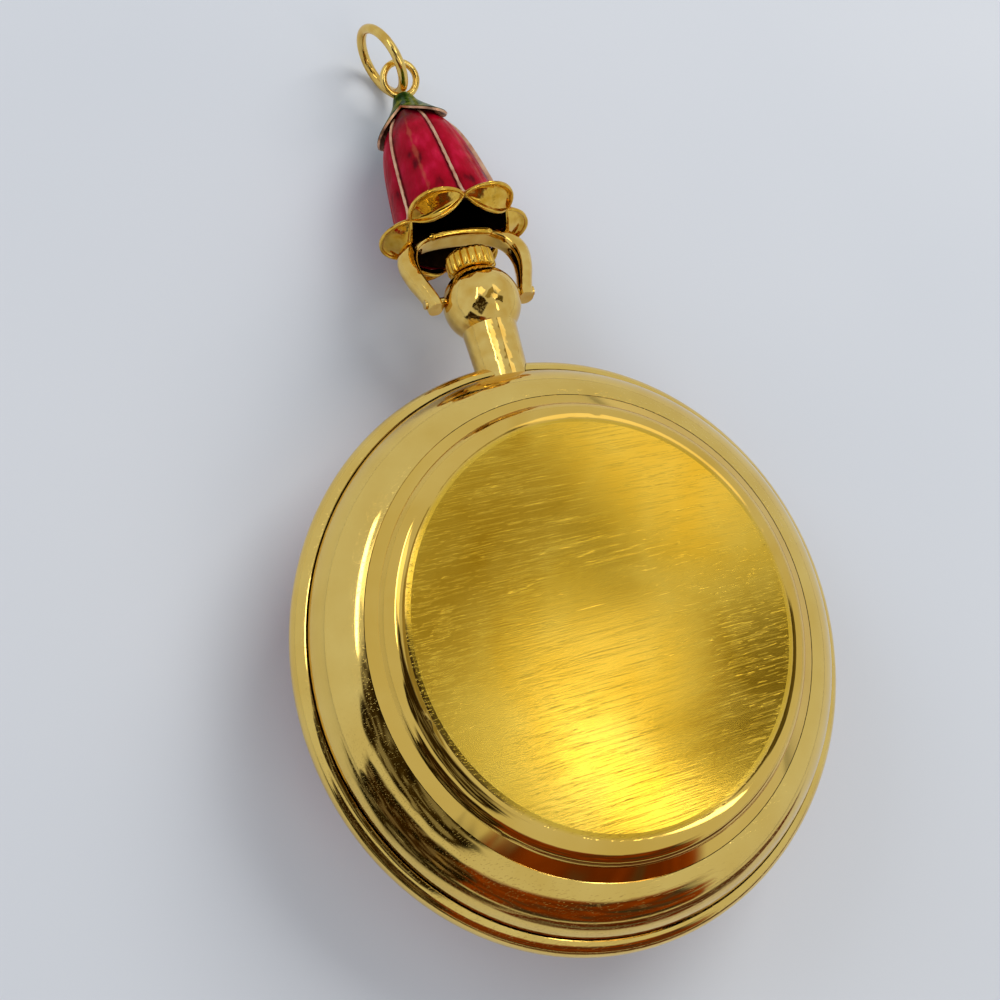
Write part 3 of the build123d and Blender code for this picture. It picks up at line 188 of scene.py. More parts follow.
def scratched_gold(tree, place):
    # Deep yellow plate on steel: the disc is worn to brushed streaks and many fine scratches,
    # and its shoulder and ledge, out of reach of the table, keep their polish.
    worn = from_to(tree, off_axis(tree, place), start_mm=disc_radius + 0.1, end_mm=disc_radius - 0.1)
    wear = grain(tree, place, size_mm=5, detail=5, distortion=0.4)
    brush = streaks(tree, place, turn=-16, length_mm=1.3, width_mm=0.075)
    cross = streaks(tree, place, turn=48, length_mm=2.4, width_mm=0.08)
    fine = scratches(tree, place, angles=(5, 33, 71, 97, 128, 161), length_mm=9, width_mm=0.085, share=0.27)
    haze = add(tree, "MapRange", {"Value": wear, "To Min": 0.06, "To Max": 0.16})
    rough = add(tree, "Math", {0: brush, 1: 0.06, 2: haze}, operation="MULTIPLY_ADD")
    rubbed = add(tree, "ValToRGB", {"Fac": grain(tree, place, size_mm=7, detail=1)},
                 stops=[(0.4, 0.25), (0.62, 1.0)])
    crossed = add(tree, "Math", {0: cross, 1: 0.5, 2: brush}, operation="MULTIPLY_ADD")
    strokes = add(tree, "Math", {0: crossed, 1: rubbed}, operation="MULTIPLY")
    cuts = add(tree, "Math", {0: fine, 1: -1.5}, operation="MULTIPLY")
    height = add(tree, "Math", {0: strokes, 1: 0.8, 2: cuts}, operation="MULTIPLY_ADD")
    yellow = add(tree, "ValToRGB", {"Fac": wear}, stops=[(0.3, "#DFB232"), (0.7, "#EAC44C")])
    polish = add(tree, "ValToRGB", {"Fac": wear}, stops=[(0.3, "#E2B850"), (0.7, "#ECC664")])
    on_disc = add(tree, "Math", {0: height, 1: worn}, operation="MULTIPLY")
    return {
        "Base Color": add(tree, "Mix", {"Factor": worn, 6: polish, 7: yellow}, data_type="RGBA"),
        "Roughness": add(tree, "Math", {0: rough, 1: worn, 2: 0.06}, operation="MULTIPLY_ADD"),
        "Normal": add(tree, "Bump", {"Height": on_disc, "Distance": 0.011 * MM, "Strength": 0.45}),
    }


def warm_gold(tree, place):
    # Cast parts under warm gold plate: soft polish with slight ripples from the casting.
    ripple = grain(tree, place, size_mm=1.1, detail=2)
    return {
        "Base Color": add(tree, "ValToRGB", {"Fac": ripple}, stops=[(0.3, "#DDB152"), (0.7, "#EDCB72")]),
        "Roughness": add(tree, "MapRange", {
            "Value": grain(tree, place, size_mm=0.6), "To Min": 0.03, "To Max": 0.12,
        }),
        "Normal": add(tree, "Bump", {"Height": ripple, "Distance": 0.08 * MM, "Strength": 0.55}),
    }


def rose_enamel(tree, place):
    # Translucent crimson enamel, rosy where the ground is close, with a coppery thread along the fold
    # in the middle of each petal, and painted shade that darkens it to near black-red in the grooves
    # by the rims and under the calyx. The thread and the painted shade follow a petal's own UV map,
    # and a piece without one has neither.
    depth = along_flower(tree, place, length_mm=3.5, width_mm=0.9)
    cloud = grain(tree, place, size_mm=2.2, detail=1)
    clouded = add(tree, "Math", {0: cloud, 1: 0.45}, operation="MULTIPLY")
    mixed = add(tree, "Math", {0: depth, 1: 0.55, 2: clouded}, operation="MULTIPLY_ADD")
    own = add(tree, "SeparateXYZ", {"Vector": add(tree, "TexCoord").outputs["UV"]}).outputs
    from_fold = add(tree, "Math", {
        0: add(tree, "Math", {0: own["X"], 1: 0.5}, operation="SUBTRACT"),
    }, operation="ABSOLUTE")
    wander = add(tree, "Math", {0: grain(tree, place, size_mm=0.9), 1: 0.16}, operation="MULTIPLY")
    off_fold = add(tree, "Math", {0: from_fold, 1: wander}, operation="ADD")
    to_groove = add(tree, "Math", {0: wander, 1: -0.3, 2: from_fold}, operation="MULTIPLY_ADD")
    to_calyx = add(tree, "Math", {0: cloud, 1: 0.08, 2: own["Y"]}, operation="MULTIPLY_ADD")
    thread = add(tree, "ValToRGB", {"Fac": off_fold}, stops=[(0.075, 0.55), (0.12, 0.0)])
    # Painted shade: the enamel darkens beside each rim, in the groove where shade falls.
    painted_groove_shade = add(tree, "ValToRGB", {"Fac": to_groove}, stops=[(0.39, 0.0), (0.46, 1.0)])
    # Painted shade under the calyx leaves, growing towards the top of each petal.
    shade = add(tree, "ValToRGB", {"Fac": to_calyx}, stops=[(0.8, 0.0), (0.93, 0.85)])
    on_piece = add(tree, "ValToRGB", {"Fac": own["Y"]}, stops=[(0.0, 0.0), (0.02, 1.0)])
    glaze = add(tree, "ValToRGB", {"Fac": mixed}, stops=[
        (0.34, "#5E0412"), (0.42, "#94041A"), (0.54, "#AA0826"), (0.61, "#BC1438"), (0.72, "#DC4450"),
    ])
    copper = add(tree, "Mix", {
        "Factor": add(tree, "Math", {0: thread, 1: on_piece}, operation="MULTIPLY"),
        6: glaze, 7: "#B4523C",
    }, data_type="RGBA")
    # Painted shade: where the mask is 1, deep mixes the glaze towards near black-red #3A040C.
    painted_shade_mask = add(tree, "Math", {0: painted_groove_shade, 1: shade}, operation="MAXIMUM")
    deep = add(tree, "Mix", {
        "Factor": add(tree, "Math", {0: painted_shade_mask, 1: on_piece}, operation="MULTIPLY"),
        6: copper, 7: "#3A040C",
    }, data_type="RGBA")
    height = add(tree, "Math", {0: depth, 1: cloud}, operation="ADD")
    return {
        "Base Color": deep,
        "Roughness": add(tree, "MapRange", {"Value": cloud, "To Min": 0.2, "To Max": 0.4}),
        "Normal": add(tree, "Bump", {"Height": height, "Distance": 0.2 * MM, "Strength": 0.6}),
    }


def rose_gold(tree, place):
    # Bare edges of the gold ground, pinkish with copper, rubbed soft by the enameller's stone.
    wear = grain(tree, place, size_mm=0.8)
    return {
        "Base Color": add(tree, "ValToRGB", {"Fac": wear}, stops=[(0.35, "#CC9070"), (0.65, "#EABE98")]),
        "Roughness": add(tree, "MapRange", {"Value": wear, "To Min": 0.22, "To Max": 0.4}),
        "Normal": add(tree, "Bump", {"Height": wear, "Distance": 0.03 * MM, "Strength": 0.4}),
    }


def lip_gold(tree, place):
    # Bright yellow plate on the cast lips, rippled where the file left the hollow.
    ripple = grain(tree, place, size_mm=0.7, detail=2)
    return {
        "Base Color": add(tree, "ValToRGB", {"Fac": ripple}, stops=[(0.3, "#D3A02E"), (0.7, "#EFC558")]),
        "Roughness": add(tree, "MapRange", {
            "Value": grain(tree, place, size_mm=0.4), "To Min": 0.05, "To Max": 0.16,
        }),
        "Normal": add(tree, "Bump", {"Height": ripple, "Distance": 0.06 * MM, "Strength": 0.5}),
    }


def dark_gold(tree, place):
    # The inside of the bell, painted nearly black as shade.
    cloud = grain(tree, place, size_mm=0.8)
    return {
        "Base Color": add(tree, "ValToRGB", {"Fac": cloud}, stops=[(0.3, "#1A0F08"), (0.7, "#34210F")]),
        "Roughness": add(tree, "MapRange", {"Value": cloud, "To Min": 0.45, "To Max": 0.65}),
    }


def leaf_enamel(tree, place):
    # Green enamel, dark in the hollows and olive where the gold ground shows through.
    cloud = grain(tree, place, size_mm=0.9)
    return {
        "Base Color": add(tree, "ValToRGB", {"Fac": cloud}, stops=[
            (0.38, "#102A06"), (0.5, "#2C4A10"), (0.62, "#666A22"),
        ]),
        "Roughness": add(tree, "MapRange", {"Value": cloud, "To Min": 0.18, "To Max": 0.35}),
        "Normal": add(tree, "Bump", {"Height": cloud, "Distance": 0.05 * MM, "Strength": 0.4}),
    }


def mineral_glass(tree, place):
    # Clear mineral glass: water-clear with the faintest smear on its surface.
    smear = grain(tree, place, size_mm=6)
    return {"Roughness": add(tree, "MapRange", {"Value": smear, "To Min": 0.0, "To Max": 0.03})}


def seal_rubber(tree, place):
    # Black nitrile rubber, moulded: matt with a fine bloom.
    bloom = grain(tree, place, size_mm=0.3)
    skin = grain(tree, place, size_mm=0.2)
    return {
        "Base Color": add(tree, "ValToRGB", {"Fac": bloom}, stops=[(0.3, "#141414"), (0.7, "#242322")]),
        "Roughness": add(tree, "MapRange", {"Value": skin, "To Min": 0.6, "To Max": 0.8}),
    }


def cream_dial(tree, place):
    # Cream lacquer sprayed on brass and rubbed down: nearly flat, slightly warmer in patches.
    patch = grain(tree, place, size_mm=5)
    sheen = grain(tree, place, size_mm=0.4)
    peel = grain(tree, place, size_mm=0.25)
    return {
        "Base Color": add(tree, "ValToRGB", {"Fac": patch}, stops=[(0.3, "#EFEADB"), (0.7, "#F4F0E4")]),
        "Roughness": add(tree, "MapRange", {"Value": sheen, "To Min": 0.28, "To Max": 0.4}),
        "Normal": add(tree, "Bump", {"Height": peel, "Distance": 0.003 * MM, "Strength": 0.3}),
    }


def black_lacquer(tree, place):
    # Gloss black lacquer on a stamped hand.
    patch = grain(tree, place, size_mm=1)
    sheen = grain(tree, place, size_mm=0.5)
    return {
        "Base Color": add(tree, "ValToRGB", {"Fac": patch}, stops=[(0.3, "#0C0C10"), (0.7, "#15151B")]),
        "Roughness": add(tree, "MapRange", {"Value": sheen, "To Min": 0.12, "To Max": 0.22}),
    }


def satin_brass(tree, place):
    # Movement brass, lapped in one direction to a satin grain.
    brush = streaks(tree, place, turn=20, length_mm=3, width_mm=0.04)
    return {
        "Base Color": add(tree, "ValToRGB", {"Fac": brush}, stops=[(0.3, "#C9A55A"), (0.7, "#DDBB6E")]),
        "Roughness": add(tree, "MapRange", {"Value": brush, "To Min": 0.28, "To Max": 0.45}),
        "Normal": add(tree, "Bump", {"Height": brush, "Distance": 0.004 * MM, "Strength": 0.4}),
    }


def brushed_steel(tree, place):
    # Nickelled steel with a fine drawn grain.
    brush = streaks(tree, place, turn=70, length_mm=2, width_mm=0.035)
    return {
        "Base Color": add(tree, "ValToRGB", {"Fac": brush}, stops=[(0.3, "#B5B8BD"), (0.7, "#CBCDD1")]),
        "Roughness": add(tree, "MapRange", {"Value": brush, "To Min": 0.25, "To Max": 0.4}),
        "Normal": add(tree, "Bump", {"Height": brush, "Distance": 0.004 * MM, "Strength": 0.4}),
    }


def copper_wire(tree, place):
    # Hundreds of turns of lacquered copper wire side by side, drawn coarser to show.
    turns = add(tree, "TexWave", {"Vector": place, "Scale": every(1.1), "Distortion": 0.4},
                wave_type="BANDS", bands_direction="X").outputs["Fac"]
    return {
        "Base Color": add(tree, "ValToRGB", {"Fac": turns}, stops=[(0.2, "#7A3A1C"), (0.8, "#B4602F")]),
        "Roughness": add(tree, "MapRange", {"Value": turns, "To Min": 0.4, "To Max": 0.25}),
        "Normal": add(tree, "Bump", {"Height": turns, "Distance": 0.05 * MM, "Strength": 0.7}),
    }


def soft_iron(tree, place):
    # Pressed sheet of soft magnetic alloy: dull grey with rolling marks.
    patch = grain(tree, place, size_mm=0.8)
    rolled = streaks(tree, place, turn=0, length_mm=2, width_mm=0.06)
    return {
        "Base Color": add(tree, "ValToRGB", {"Fac": patch}, stops=[(0.3, "#77797C"), (0.7, "#8C8E90")]),
        "Roughness": add(tree, "MapRange", {"Value": rolled, "To Min": 0.35, "To Max": 0.5}),
    }


def white_plastic(tree, place):
    # Moulded acetal: milky white with a soft sheen.
    patch = grain(tree, place, size_mm=2)
    sheen = grain(tree, place, size_mm=0.3)
    skin = grain(tree, place, size_mm=0.15)
    return {
        "Base Color": add(tree, "ValToRGB", {"Fac": patch}, stops=[(0.3, "#DAD8D0"), (0.7, "#E6E4DC")]),
        "Roughness": add(tree, "MapRange", {"Value": sheen, "To Min": 0.35, "To Max": 0.5}),
        "Normal": add(tree, "Bump", {"Height": skin, "Distance": 0.004 * MM, "Strength": 0.3}),
    }


def green_board(tree, place):
    # Glass-fibre board under green solder mask, with the weave just visible.
    warp, weft = [
        add(tree, "TexWave", {"Vector": place, "Scale": every(0.9)}, bands_direction=way).outputs["Fac"]
        for way in "XY"
    ]
    weave = add(tree, "Math", {0: warp, 1: weft}, operation="MULTIPLY")
    return {
        "Base Color": add(tree, "ValToRGB", {"Fac": weave}, stops=[(0.2, "#14502E"), (0.8, "#1D6A3C")]),
        "Roughness": add(tree, "MapRange", {"Value": weave, "To Min": 0.3, "To Max": 0.42}),
    }


def chip_resin(tree, place):
    # Black epoxy drop over the chip.
    patch = grain(tree, place, size_mm=0.4)
    skin = grain(tree, place, size_mm=0.15)
    return {
        "Base Color": add(tree, "ValToRGB", {"Fac": patch}, stops=[(0.3, "#101012"), (0.7, "#1C1C1E")]),
        "Roughness": add(tree, "MapRange", {"Value": skin, "To Min": 0.35, "To Max": 0.6}),
    }


METAL = {"Metallic": 1.0}
GLAZE = {
    "IOR": 1.5, "Specular IOR Level": 0.02, "Coat Weight": 0.06, "Coat Roughness": 0.05, "Coat IOR": 1.5,
}
GLASS = {"IOR": 1.52, "Transmission Weight": 1.0}
LACQUER = {"IOR": 1.5}
PLASTIC = {"IOR": 1.48}
finishes = {
    "polished_gold": finish_material("polished_gold_plate", METAL, polished_gold),
    "yellow_gold": finish_material("scratched_yellow_gold_plate", METAL, scratched_gold),
    "warm_gold": finish_material("warm_gold_plate", METAL, warm_gold),
    "rose_enamel": finish_material("translucent_red_enamel", GLAZE, rose_enamel),
    "rose_gold": finish_material("rose_gold_edge", METAL, rose_gold),
    "lip_gold": finish_material("bright_lip_gold_plate", METAL, lip_gold),
    "dark_gold": finish_material("bell_inside_painted_shade", METAL, dark_gold),
    "leaf_enamel": finish_material("translucent_green_enamel", GLAZE, leaf_enamel),
    "glass": finish_material("mineral_glass", GLASS, mineral_glass),
    "seal_rubber": finish_material("nitrile_rubber", LACQUER, seal_rubber),
    "dial_enamel": finish_material("cream_dial_lacquer", LACQUER, cream_dial),
    "hand_lacquer": finish_material("black_hand_lacquer", LACQUER, black_lacquer),
    "movement_brass": finish_material("satin_movement_brass", METAL, satin_brass),
    "movement_steel": finish_material("nickelled_steel", METAL, brushed_steel),
    "copper_wire": finish_material("lacquered_copper_wire", METAL, copper_wire),
    "soft_iron": finish_material("soft_magnetic_alloy", METAL, soft_iron),
    "holder_plastic": finish_material("moulded_acetal", PLASTIC, white_plastic),
    "board": finish_material("green_circuit_board", LACQUER, green_board),
    "chip_resin": finish_material("black_epoxy", LACQUER, chip_resin),
}
slots = {part["node"]: part["material_slot"] for part in frame["record"]["subparts"]}
for name, node in frame["nodes"].items():
    for place in node.material_slots:
        place.material = finishes[slots[name]]


# Modelling helpers

def only(thing):
    """Leave one piece selected and active, in object mode."""
    if bpy.context.mode != "OBJECT":
        bpy.ops.object.mode_set(mode="OBJECT")
    bpy.ops.object.select_all(action="DESELECT")
    thing.select_set(True)
    bpy.context.view_layer.objects.active = thing


def fresh(kind, name, **settings):
    """Add a primitive with nothing else selected."""
    if bpy.context.mode != "OBJECT":
        bpy.ops.object.mode_set(mode="OBJECT")
    bpy.ops.object.select_all(action="DESELECT")
    getattr(bpy.ops.mesh, "primitive_" + kind + "_add")(**settings)
    made = bpy.context.object
    made.name = name
    return made


def laid(name, columns, rows, place):
    """A free-form skin: a grid whose corners go from 0..1 across and along to their places in mm."""
    made = fresh("grid", name, x_subdivisions=columns, y_subdivisions=rows, size=1)
    for corner in made.data.vertices:
        corner.co = place(corner.co.x + 0.5, corner.co.y + 0.5) * MM
    return made


def edit(thing):
    """Open a piece in edit mode with all of it selected."""
    only(thing)
    bpy.ops.object.mode_set(mode="EDIT")
    bpy.ops.mesh.select_all(action="SELECT")


def close_seams(thing, gap_mm=0.004):
    """Merge the corners where a wrapped grid meets itself, and point its faces outwards."""
    edit(thing)
    bpy.ops.mesh.remove_doubles(threshold=gap_mm * MM)
    bpy.ops.mesh.normals_make_consistent(inside=False)
    bpy.ops.object.mode_set(mode="OBJECT")


def cap_ends(thing):
    """Fill the open ends of a tube with flat faces."""
    edit(thing)
    bpy.ops.mesh.select_all(action="DESELECT")
    bpy.ops.mesh.select_mode(type="EDGE")
    bpy.ops.mesh.select_non_manifold(extend=False)
    bpy.ops.mesh.fill_holes(sides=0)
    bpy.ops.mesh.select_all(action="SELECT")
    bpy.ops.mesh.normals_make_consistent(inside=False)
    bpy.ops.mesh.select_mode(type="VERT")
    bpy.ops.object.mode_set(mode="OBJECT")


def modify(thing, kind, **settings):
    """Add a modifier with its settings and apply it."""
    only(thing)
    step = thing.modifiers.new(kind.lower(), kind)
    for name, value in settings.items():
        setattr(step, name, value)
    bpy.ops.object.modifier_apply(modifier=step.name)


def walled(thing, wall_mm, offset=-1.0):
    """Give a skin its wall: offset -1 puts it inside the skin, and 0 on both sides."""
    modify(thing, "SOLIDIFY", thickness=wall_mm * MM, offset=offset, use_even_offset=False)


def smooth(thing, angle=40):
    """Shade a piece smooth, but for edges sharper than the angle."""
    only(thing)
    bpy.ops.object.shade_smooth_by_angle(angle=radians(angle))


def fit(thing, body, finish, *nodes):
    """Give a finished piece its finish and body, and the nodes that it stands for."""
    thing.data.materials.clear()
    thing.data.materials.append(finishes[finish])
    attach(thing, body)
    if nodes:
        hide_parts(*nodes)


def copied(thing, name, move):
    """A copy with its own mesh, each corner moved."""
    other = thing.copy()
    other.data = thing.data.copy()
    other.name = name
    bpy.context.collection.objects.link(other)
    for corner in other.data.vertices:
        corner.co = move(corner.co)
    return other


def line_through(points, at):
    """The height at a place of a smooth line through points given in rising order."""
    low = 0
    while low < len(points) - 2 and at > points[low + 1][0]:
        low += 1
    (x0, y0), (x1, y1) = points[low], points[low + 1]
    before, after = points[max(low - 1, 0)], points[min(low + 2, len(points) - 1)]
    step = x1 - x0
    share = (at - x0) / step
    start = (y1 - before[1]) / (x1 - before[0]) * step
    end = (after[1] - y0) / (after[0] - x0) * step
    return (
        y0 * (2 * share ** 3 - 3 * share ** 2 + 1) + start * (share ** 3 - 2 * share ** 2 + share)
        + y1 * (3 * share ** 2 - 2 * share ** 3) + end * (share ** 3 - share ** 2)
    )


# The flower's own frame, with turns in degrees round its axis, and radii and stations in mm

droop = radians(flower_droop)
flower_right = Vector((1, 0, 0))
flower_down = Vector((0, -sin(droop), -cos(droop)))
flower_along = Vector((0, cos(droop), -sin(droop)))


def in_flower(turn, radius, station):
    """A point in mm, from its turn round the flower, and its distances off and along the axis."""
    around = flower_right * cos(radians(turn)) + flower_down * sin(radians(turn))
    return ball_middle + around * radius + flower_along * station


def flat_in_flower(across, station, rise):
    """A point in mm of the plane of the bow, rise above it."""
    return ball_middle + flower_right * across + flower_along * station - flower_down * rise


def ring_of(first, name, count):
    """A piece and its copies, numbered from 1 and spaced evenly round the flower's axis."""
    middle = ball_middle * MM

    def turned_by(turn):
        spin = Matrix.Rotation(radians(turn), 3, flower_along)
        return lambda place: spin @ (place - middle) + middle
    copies = [
        copied(first, f"{name}_{number + 1}", turned_by(360 / count * number))
        for number in range(1, count)
    ]
    return [first, *copies]


# The bell's gold ground, as stations and radii
bell_line = [
    (5.9, 3.92), (6.3, 3.93), (8.0, 3.84), (9.5, 3.69), (11.0, 3.53), (13.0, 3.26), (14.7, 2.87),
    (15.85, 2.42), (17.1, 1.74), (18.1, 1.22), (19.0, 0.75),
]
# Turns of the first lower petal and of the upper petal beside it
under_turn = 58
over_turn = under_turn - 360 / 6


# Petals and their rims

petal_start = 6.36
over_length = 10.94
over_half_turn = 29
over_lift = 0.04
over_fullness = 0.1
under_length = 11.64
under_half_turn = 30.5
under_sink = 0.02
under_fullness = 0.12
groove_depth = 0.55
fold_height = 0.03
over_wall = 0.16
under_wall = 0.14


def over_petal(across, along):
    # The upper petal: full between its rims, slightly raised along its middle.
    station = petal_start + over_length * along
    side = 2 * across - 1
    fullness = over_fullness * (1 - side ** 2) + fold_height * max(0, 1 - abs(side) * 5)
    radius = line_through(bell_line, station) + over_lift + fullness
    return in_flower(over_turn + side * over_half_turn, radius, station)


def under_petal(across, along):
    # The lower petal: rounded, with its sides going down into the grooves by the rims.
    station = petal_start + under_length * along
    side = 2 * across - 1
    fall = groove_depth * abs(side) ** 5 * min(1, 0.2 + along * 5)
    fullness = under_fullness * (1 - side ** 2) - fold_height * max(0, 1 - abs(side) * 6)
    radius = line_through(bell_line, station) - under_sink + fullness - fall
    return in_flower(under_turn + side * under_half_turn, radius, station)


rim_start = 6.25
rim_length = 10.6
rim_half_turn = 29.6
rim_half_width = 0.115
rim_waver = 0.02
rim_lift = 0.1
rim_crown = 0.13
rim_root = 0.72
rim_flare = 0.25


def petal_rim(turn):
    """The raised edge of an upper petal: a rounded back on a deep thin wall."""
    def place(across, along):
        station = rim_start + rim_length * along
        angle = 2 * pi * across
        width = rim_half_width + rim_waver * cos(7 * station) * (1 - along)
        flare = rim_flare * max(0, 1 - along * 8) ** 2
        deep = rim_crown if sin(angle) > 0 else rim_root
        ground = line_through(bell_line, station)
        shift = degrees(width * cos(angle) / ground)
        return in_flower(turn + shift, ground + rim_lift + deep * sin(angle) + flare, station)
    return place


petal_over = laid("petal_over_1", columns=28, rows=56, place=over_petal)
walled(petal_over, over_wall)
smooth(petal_over)
petal_under = laid("petal_under_1", columns=36, rows=56, place=under_petal)
walled(petal_under, under_wall)
smooth(petal_under)
for petal in (petal_over, petal_under):
    close_seams(petal)
for petal in ring_of(petal_over, "petal_over", 3) + ring_of(petal_under, "petal_under", 3):
    fit(petal, "flower", "rose_enamel", "petal_enamel")

for side, turn in (("left", over_turn - rim_half_turn), ("right", over_turn + rim_half_turn)):
    rim = laid(f"petal_rim_{side}_1", columns=12, rows=80, place=petal_rim(turn))
    close_seams(rim)
    cap_ends(rim)
    smooth(rim, angle=60)
    for thing in ring_of(rim, f"petal_rim_{side}", 3):
        fit(thing, "flower", "rose_gold", "bell")


# Lips and the inside of the bell

# Where the lip's hollow faces, off and along the axis
lip_facing = Vector((0.407, -0.913))
# The lip's front edge lies on the mouth, and its back edge is rolled out past the petal
lip_half_turn = 30
lip_front_radius = 3.55
lip_front_spread = 0.5
lip_front_station = 5.42
lip_corner_rise = 0.89
lip_back_radius = 3.507
lip_back_reach = 1.92
lip_back_half = 2.025
lip_back_station = 6.28
lip_hollow = 0.42
lip_drop = 0.03
lip_wall = 0.22
lip_edge_round = 0.07
bead_inset = 0.06
bead_half_width = 0.13
bead_half_depth = 0.15


def lip(across, along):
    # A cupped leaf with pointed ends, its front edge on the mouth and its back edge rolled out.
    side = 2 * across - 1
    turn = radians(side * lip_half_turn)
    front_radius = lip_front_radius + lip_front_spread * side ** 2
    front_station = lip_front_station + lip_corner_rise * abs(side) ** 2.5
    front = Vector((front_radius * cos(turn), front_radius * sin(turn), front_station))
    reach = max(0, cos(side * pi / 2)) ** 1.18
    back = Vector((
        lip_back_radius + lip_back_reach * reach, lip_back_half * sin(side * pi / 2), lip_back_station,
    ))
    point = front.lerp(back, along)
    hollow = lip_hollow * (1 - (2 * along - 1) ** 6) * (1 - side ** 4)
    point.x -= hollow * lip_facing.x
    point.z -= hollow * lip_facing.y + lip_drop
    turned = degrees(atan2(point.y, point.x))
    return in_flower(under_turn + turned, hypot(point.x, point.y), point.z)


def lip_bead(across, along):
    # The raised rim all round the lip.
    edge = lip(2 * along, 0) if along < 0.5 else lip(2 - 2 * along, 1)
    away = edge - lip(0.5, 0.5)
    around = flower_right * cos(radians(under_turn)) + flower_down * sin(radians(under_turn))
    facing = around * lip_facing.x + flower_along * lip_facing.y
    away = (away - facing * away.dot(facing)).normalized()
    angle = 2 * pi * across
    off_edge = bead_half_width * cos(angle) - bead_inset
    return edge + away * off_edge + facing * bead_half_depth * sin(angle)


gold_lip = laid("petal_lip_1", columns=28, rows=14, place=lip)
walled(gold_lip, lip_wall, offset=0)
close_seams(gold_lip)
modify(gold_lip, "BEVEL", width=lip_edge_round * MM, segments=3, limit_method="ANGLE",
       angle_limit=radians(50))
smooth(gold_lip, angle=50)
bead = laid("lip_rim_1", columns=12, rows=72, place=lip_bead)
close_seams(bead)
smooth(bead, angle=60)
for thing in ring_of(gold_lip, "petal_lip", 6) + ring_of(bead, "lip_rim", 6):
    fit(thing, "flower", "lip_gold", "bell")

inside_start = 6.2
inside_length = 11.8
inside_gap = 0.8
inside_flare = 0.5
inside_wall = 0.12


def bell_inside(across, along):
    # The wall that is seen through the mouth, wider at its edge, painted nearly black as the shade inside
    # the bell.
    station = inside_start + inside_length * along
    flare = inside_flare * max(0, 1 - along * 8)
    return in_flower(360 * across, line_through(bell_line, station) - inside_gap + flare, station)


inner_wall = laid("bell_inside", columns=96, rows=30, place=bell_inside)
close_seams(inner_wall)
walled(inner_wall, inside_wall, offset=0)
smooth(inner_wall)
fit(inner_wall, "flower", "dark_gold", "bell")


# Calyx

calyx_top = 20.0
calyx_notch = 18.13
# The cap's outline, as stations and radii
calyx_line = [
    (15.2, 3.4), (15.7, 3.08), (16.4, 2.65), (17.3, 2.1), (calyx_notch, 1.58), (19.0, 1.1),
    (calyx_top, 0.74),
]
leaf_length = 2.4
leaf_turn = 53
leaf_count = 3
crease_depth = 0.1
leaf_curl = 0.08
leaf_wall = 0.17
leaf_glaze_wall = 0.1
leaf_glaze_lift = 0.05
leaf_bare_edge = 0.14


def leaf_share(turn):
    """1 along the middle of a leaf and 0 in the notch between two."""
    return abs(cos(radians(leaf_count / 2 * (turn - leaf_turn)))) ** 0.93


def calyx_skin(bare_edge, lift):
    """The cap of three leaves, drawn back from its edge by bare_edge and raised by lift."""
    def place(across, along):
        turn = 360 * across
        leaf = leaf_share(turn)
        edge = calyx_notch - leaf_length * leaf + bare_edge
        station = calyx_top + (edge - calyx_top) * along
        crease = crease_depth * (1 - leaf) * along - leaf_curl * along ** 6
        return in_flower(turn, line_through(calyx_line, station) + lift - crease, station)
    return place


leaf_gold = laid("calyx_gold", columns=180, rows=26, place=calyx_skin(bare_edge=0, lift=0))
close_seams(leaf_gold)
walled(leaf_gold, leaf_wall)
smooth(leaf_gold, angle=45)
fit(leaf_gold, "flower", "rose_gold", "calyx")
leaf_glaze = laid("calyx_glaze", columns=180, rows=24, place=calyx_skin(leaf_bare_edge, leaf_glaze_lift))
close_seams(leaf_glaze)
walled(leaf_glaze, leaf_glaze_wall)
smooth(leaf_glaze, angle=45)
fit(leaf_glaze, "flower", "leaf_enamel", "calyx_enamel")

lid_hole = 0.4
lid_width = 0.4
lid_top = 20.14
lid_fall = 0.16
lid_wall = 0.1


def calyx_lid(across, along):
    # The rounded top that closes the cap round the post of the eye loop.
    return in_flower(360 * across, lid_hole + lid_width * along, lid_top - lid_fall * along ** 3)


lid = laid("calyx_top", columns=72, rows=8, place=calyx_lid)
close_seams(lid)
walled(lid, lid_wall)
smooth(lid)
fit(lid, "flower", "leaf_enamel", "calyx_enamel")


# Bow

# Half of the bow from its foot to the top of the arch, as distances across and along
bow_outside = [
    (3.78, 0.0), (3.88, 0.55), (4.16, 1.4), (4.56, 2.5), (4.8, 3.7), (4.68, 4.6), (4.2, 5.35),
    (3.2, 5.95), (1.8, 6.3), (0, 6.4),
]
bow_inside = [
    (2.74, 0.05), (2.8, 0.55), (3.0, 1.25), (3.3, 2.3), (3.44, 3.3), (3.3, 4.25), (2.88, 4.95),
    (2.1, 5.4), (1.1, 5.57), (0, 5.6),
]
foot_half_depth = 0.66
arm_swell = 0.14
arch_start_share = 0.62
arch_blend_share = 0.2


def along_bow(points, share):
    """The point at a share of the way along half of the bow's outline."""
    last = len(points) - 1
    return [line_through([(at / last, point[axis]) for at, point in enumerate(points)], share)
            for axis in (0, 1)]


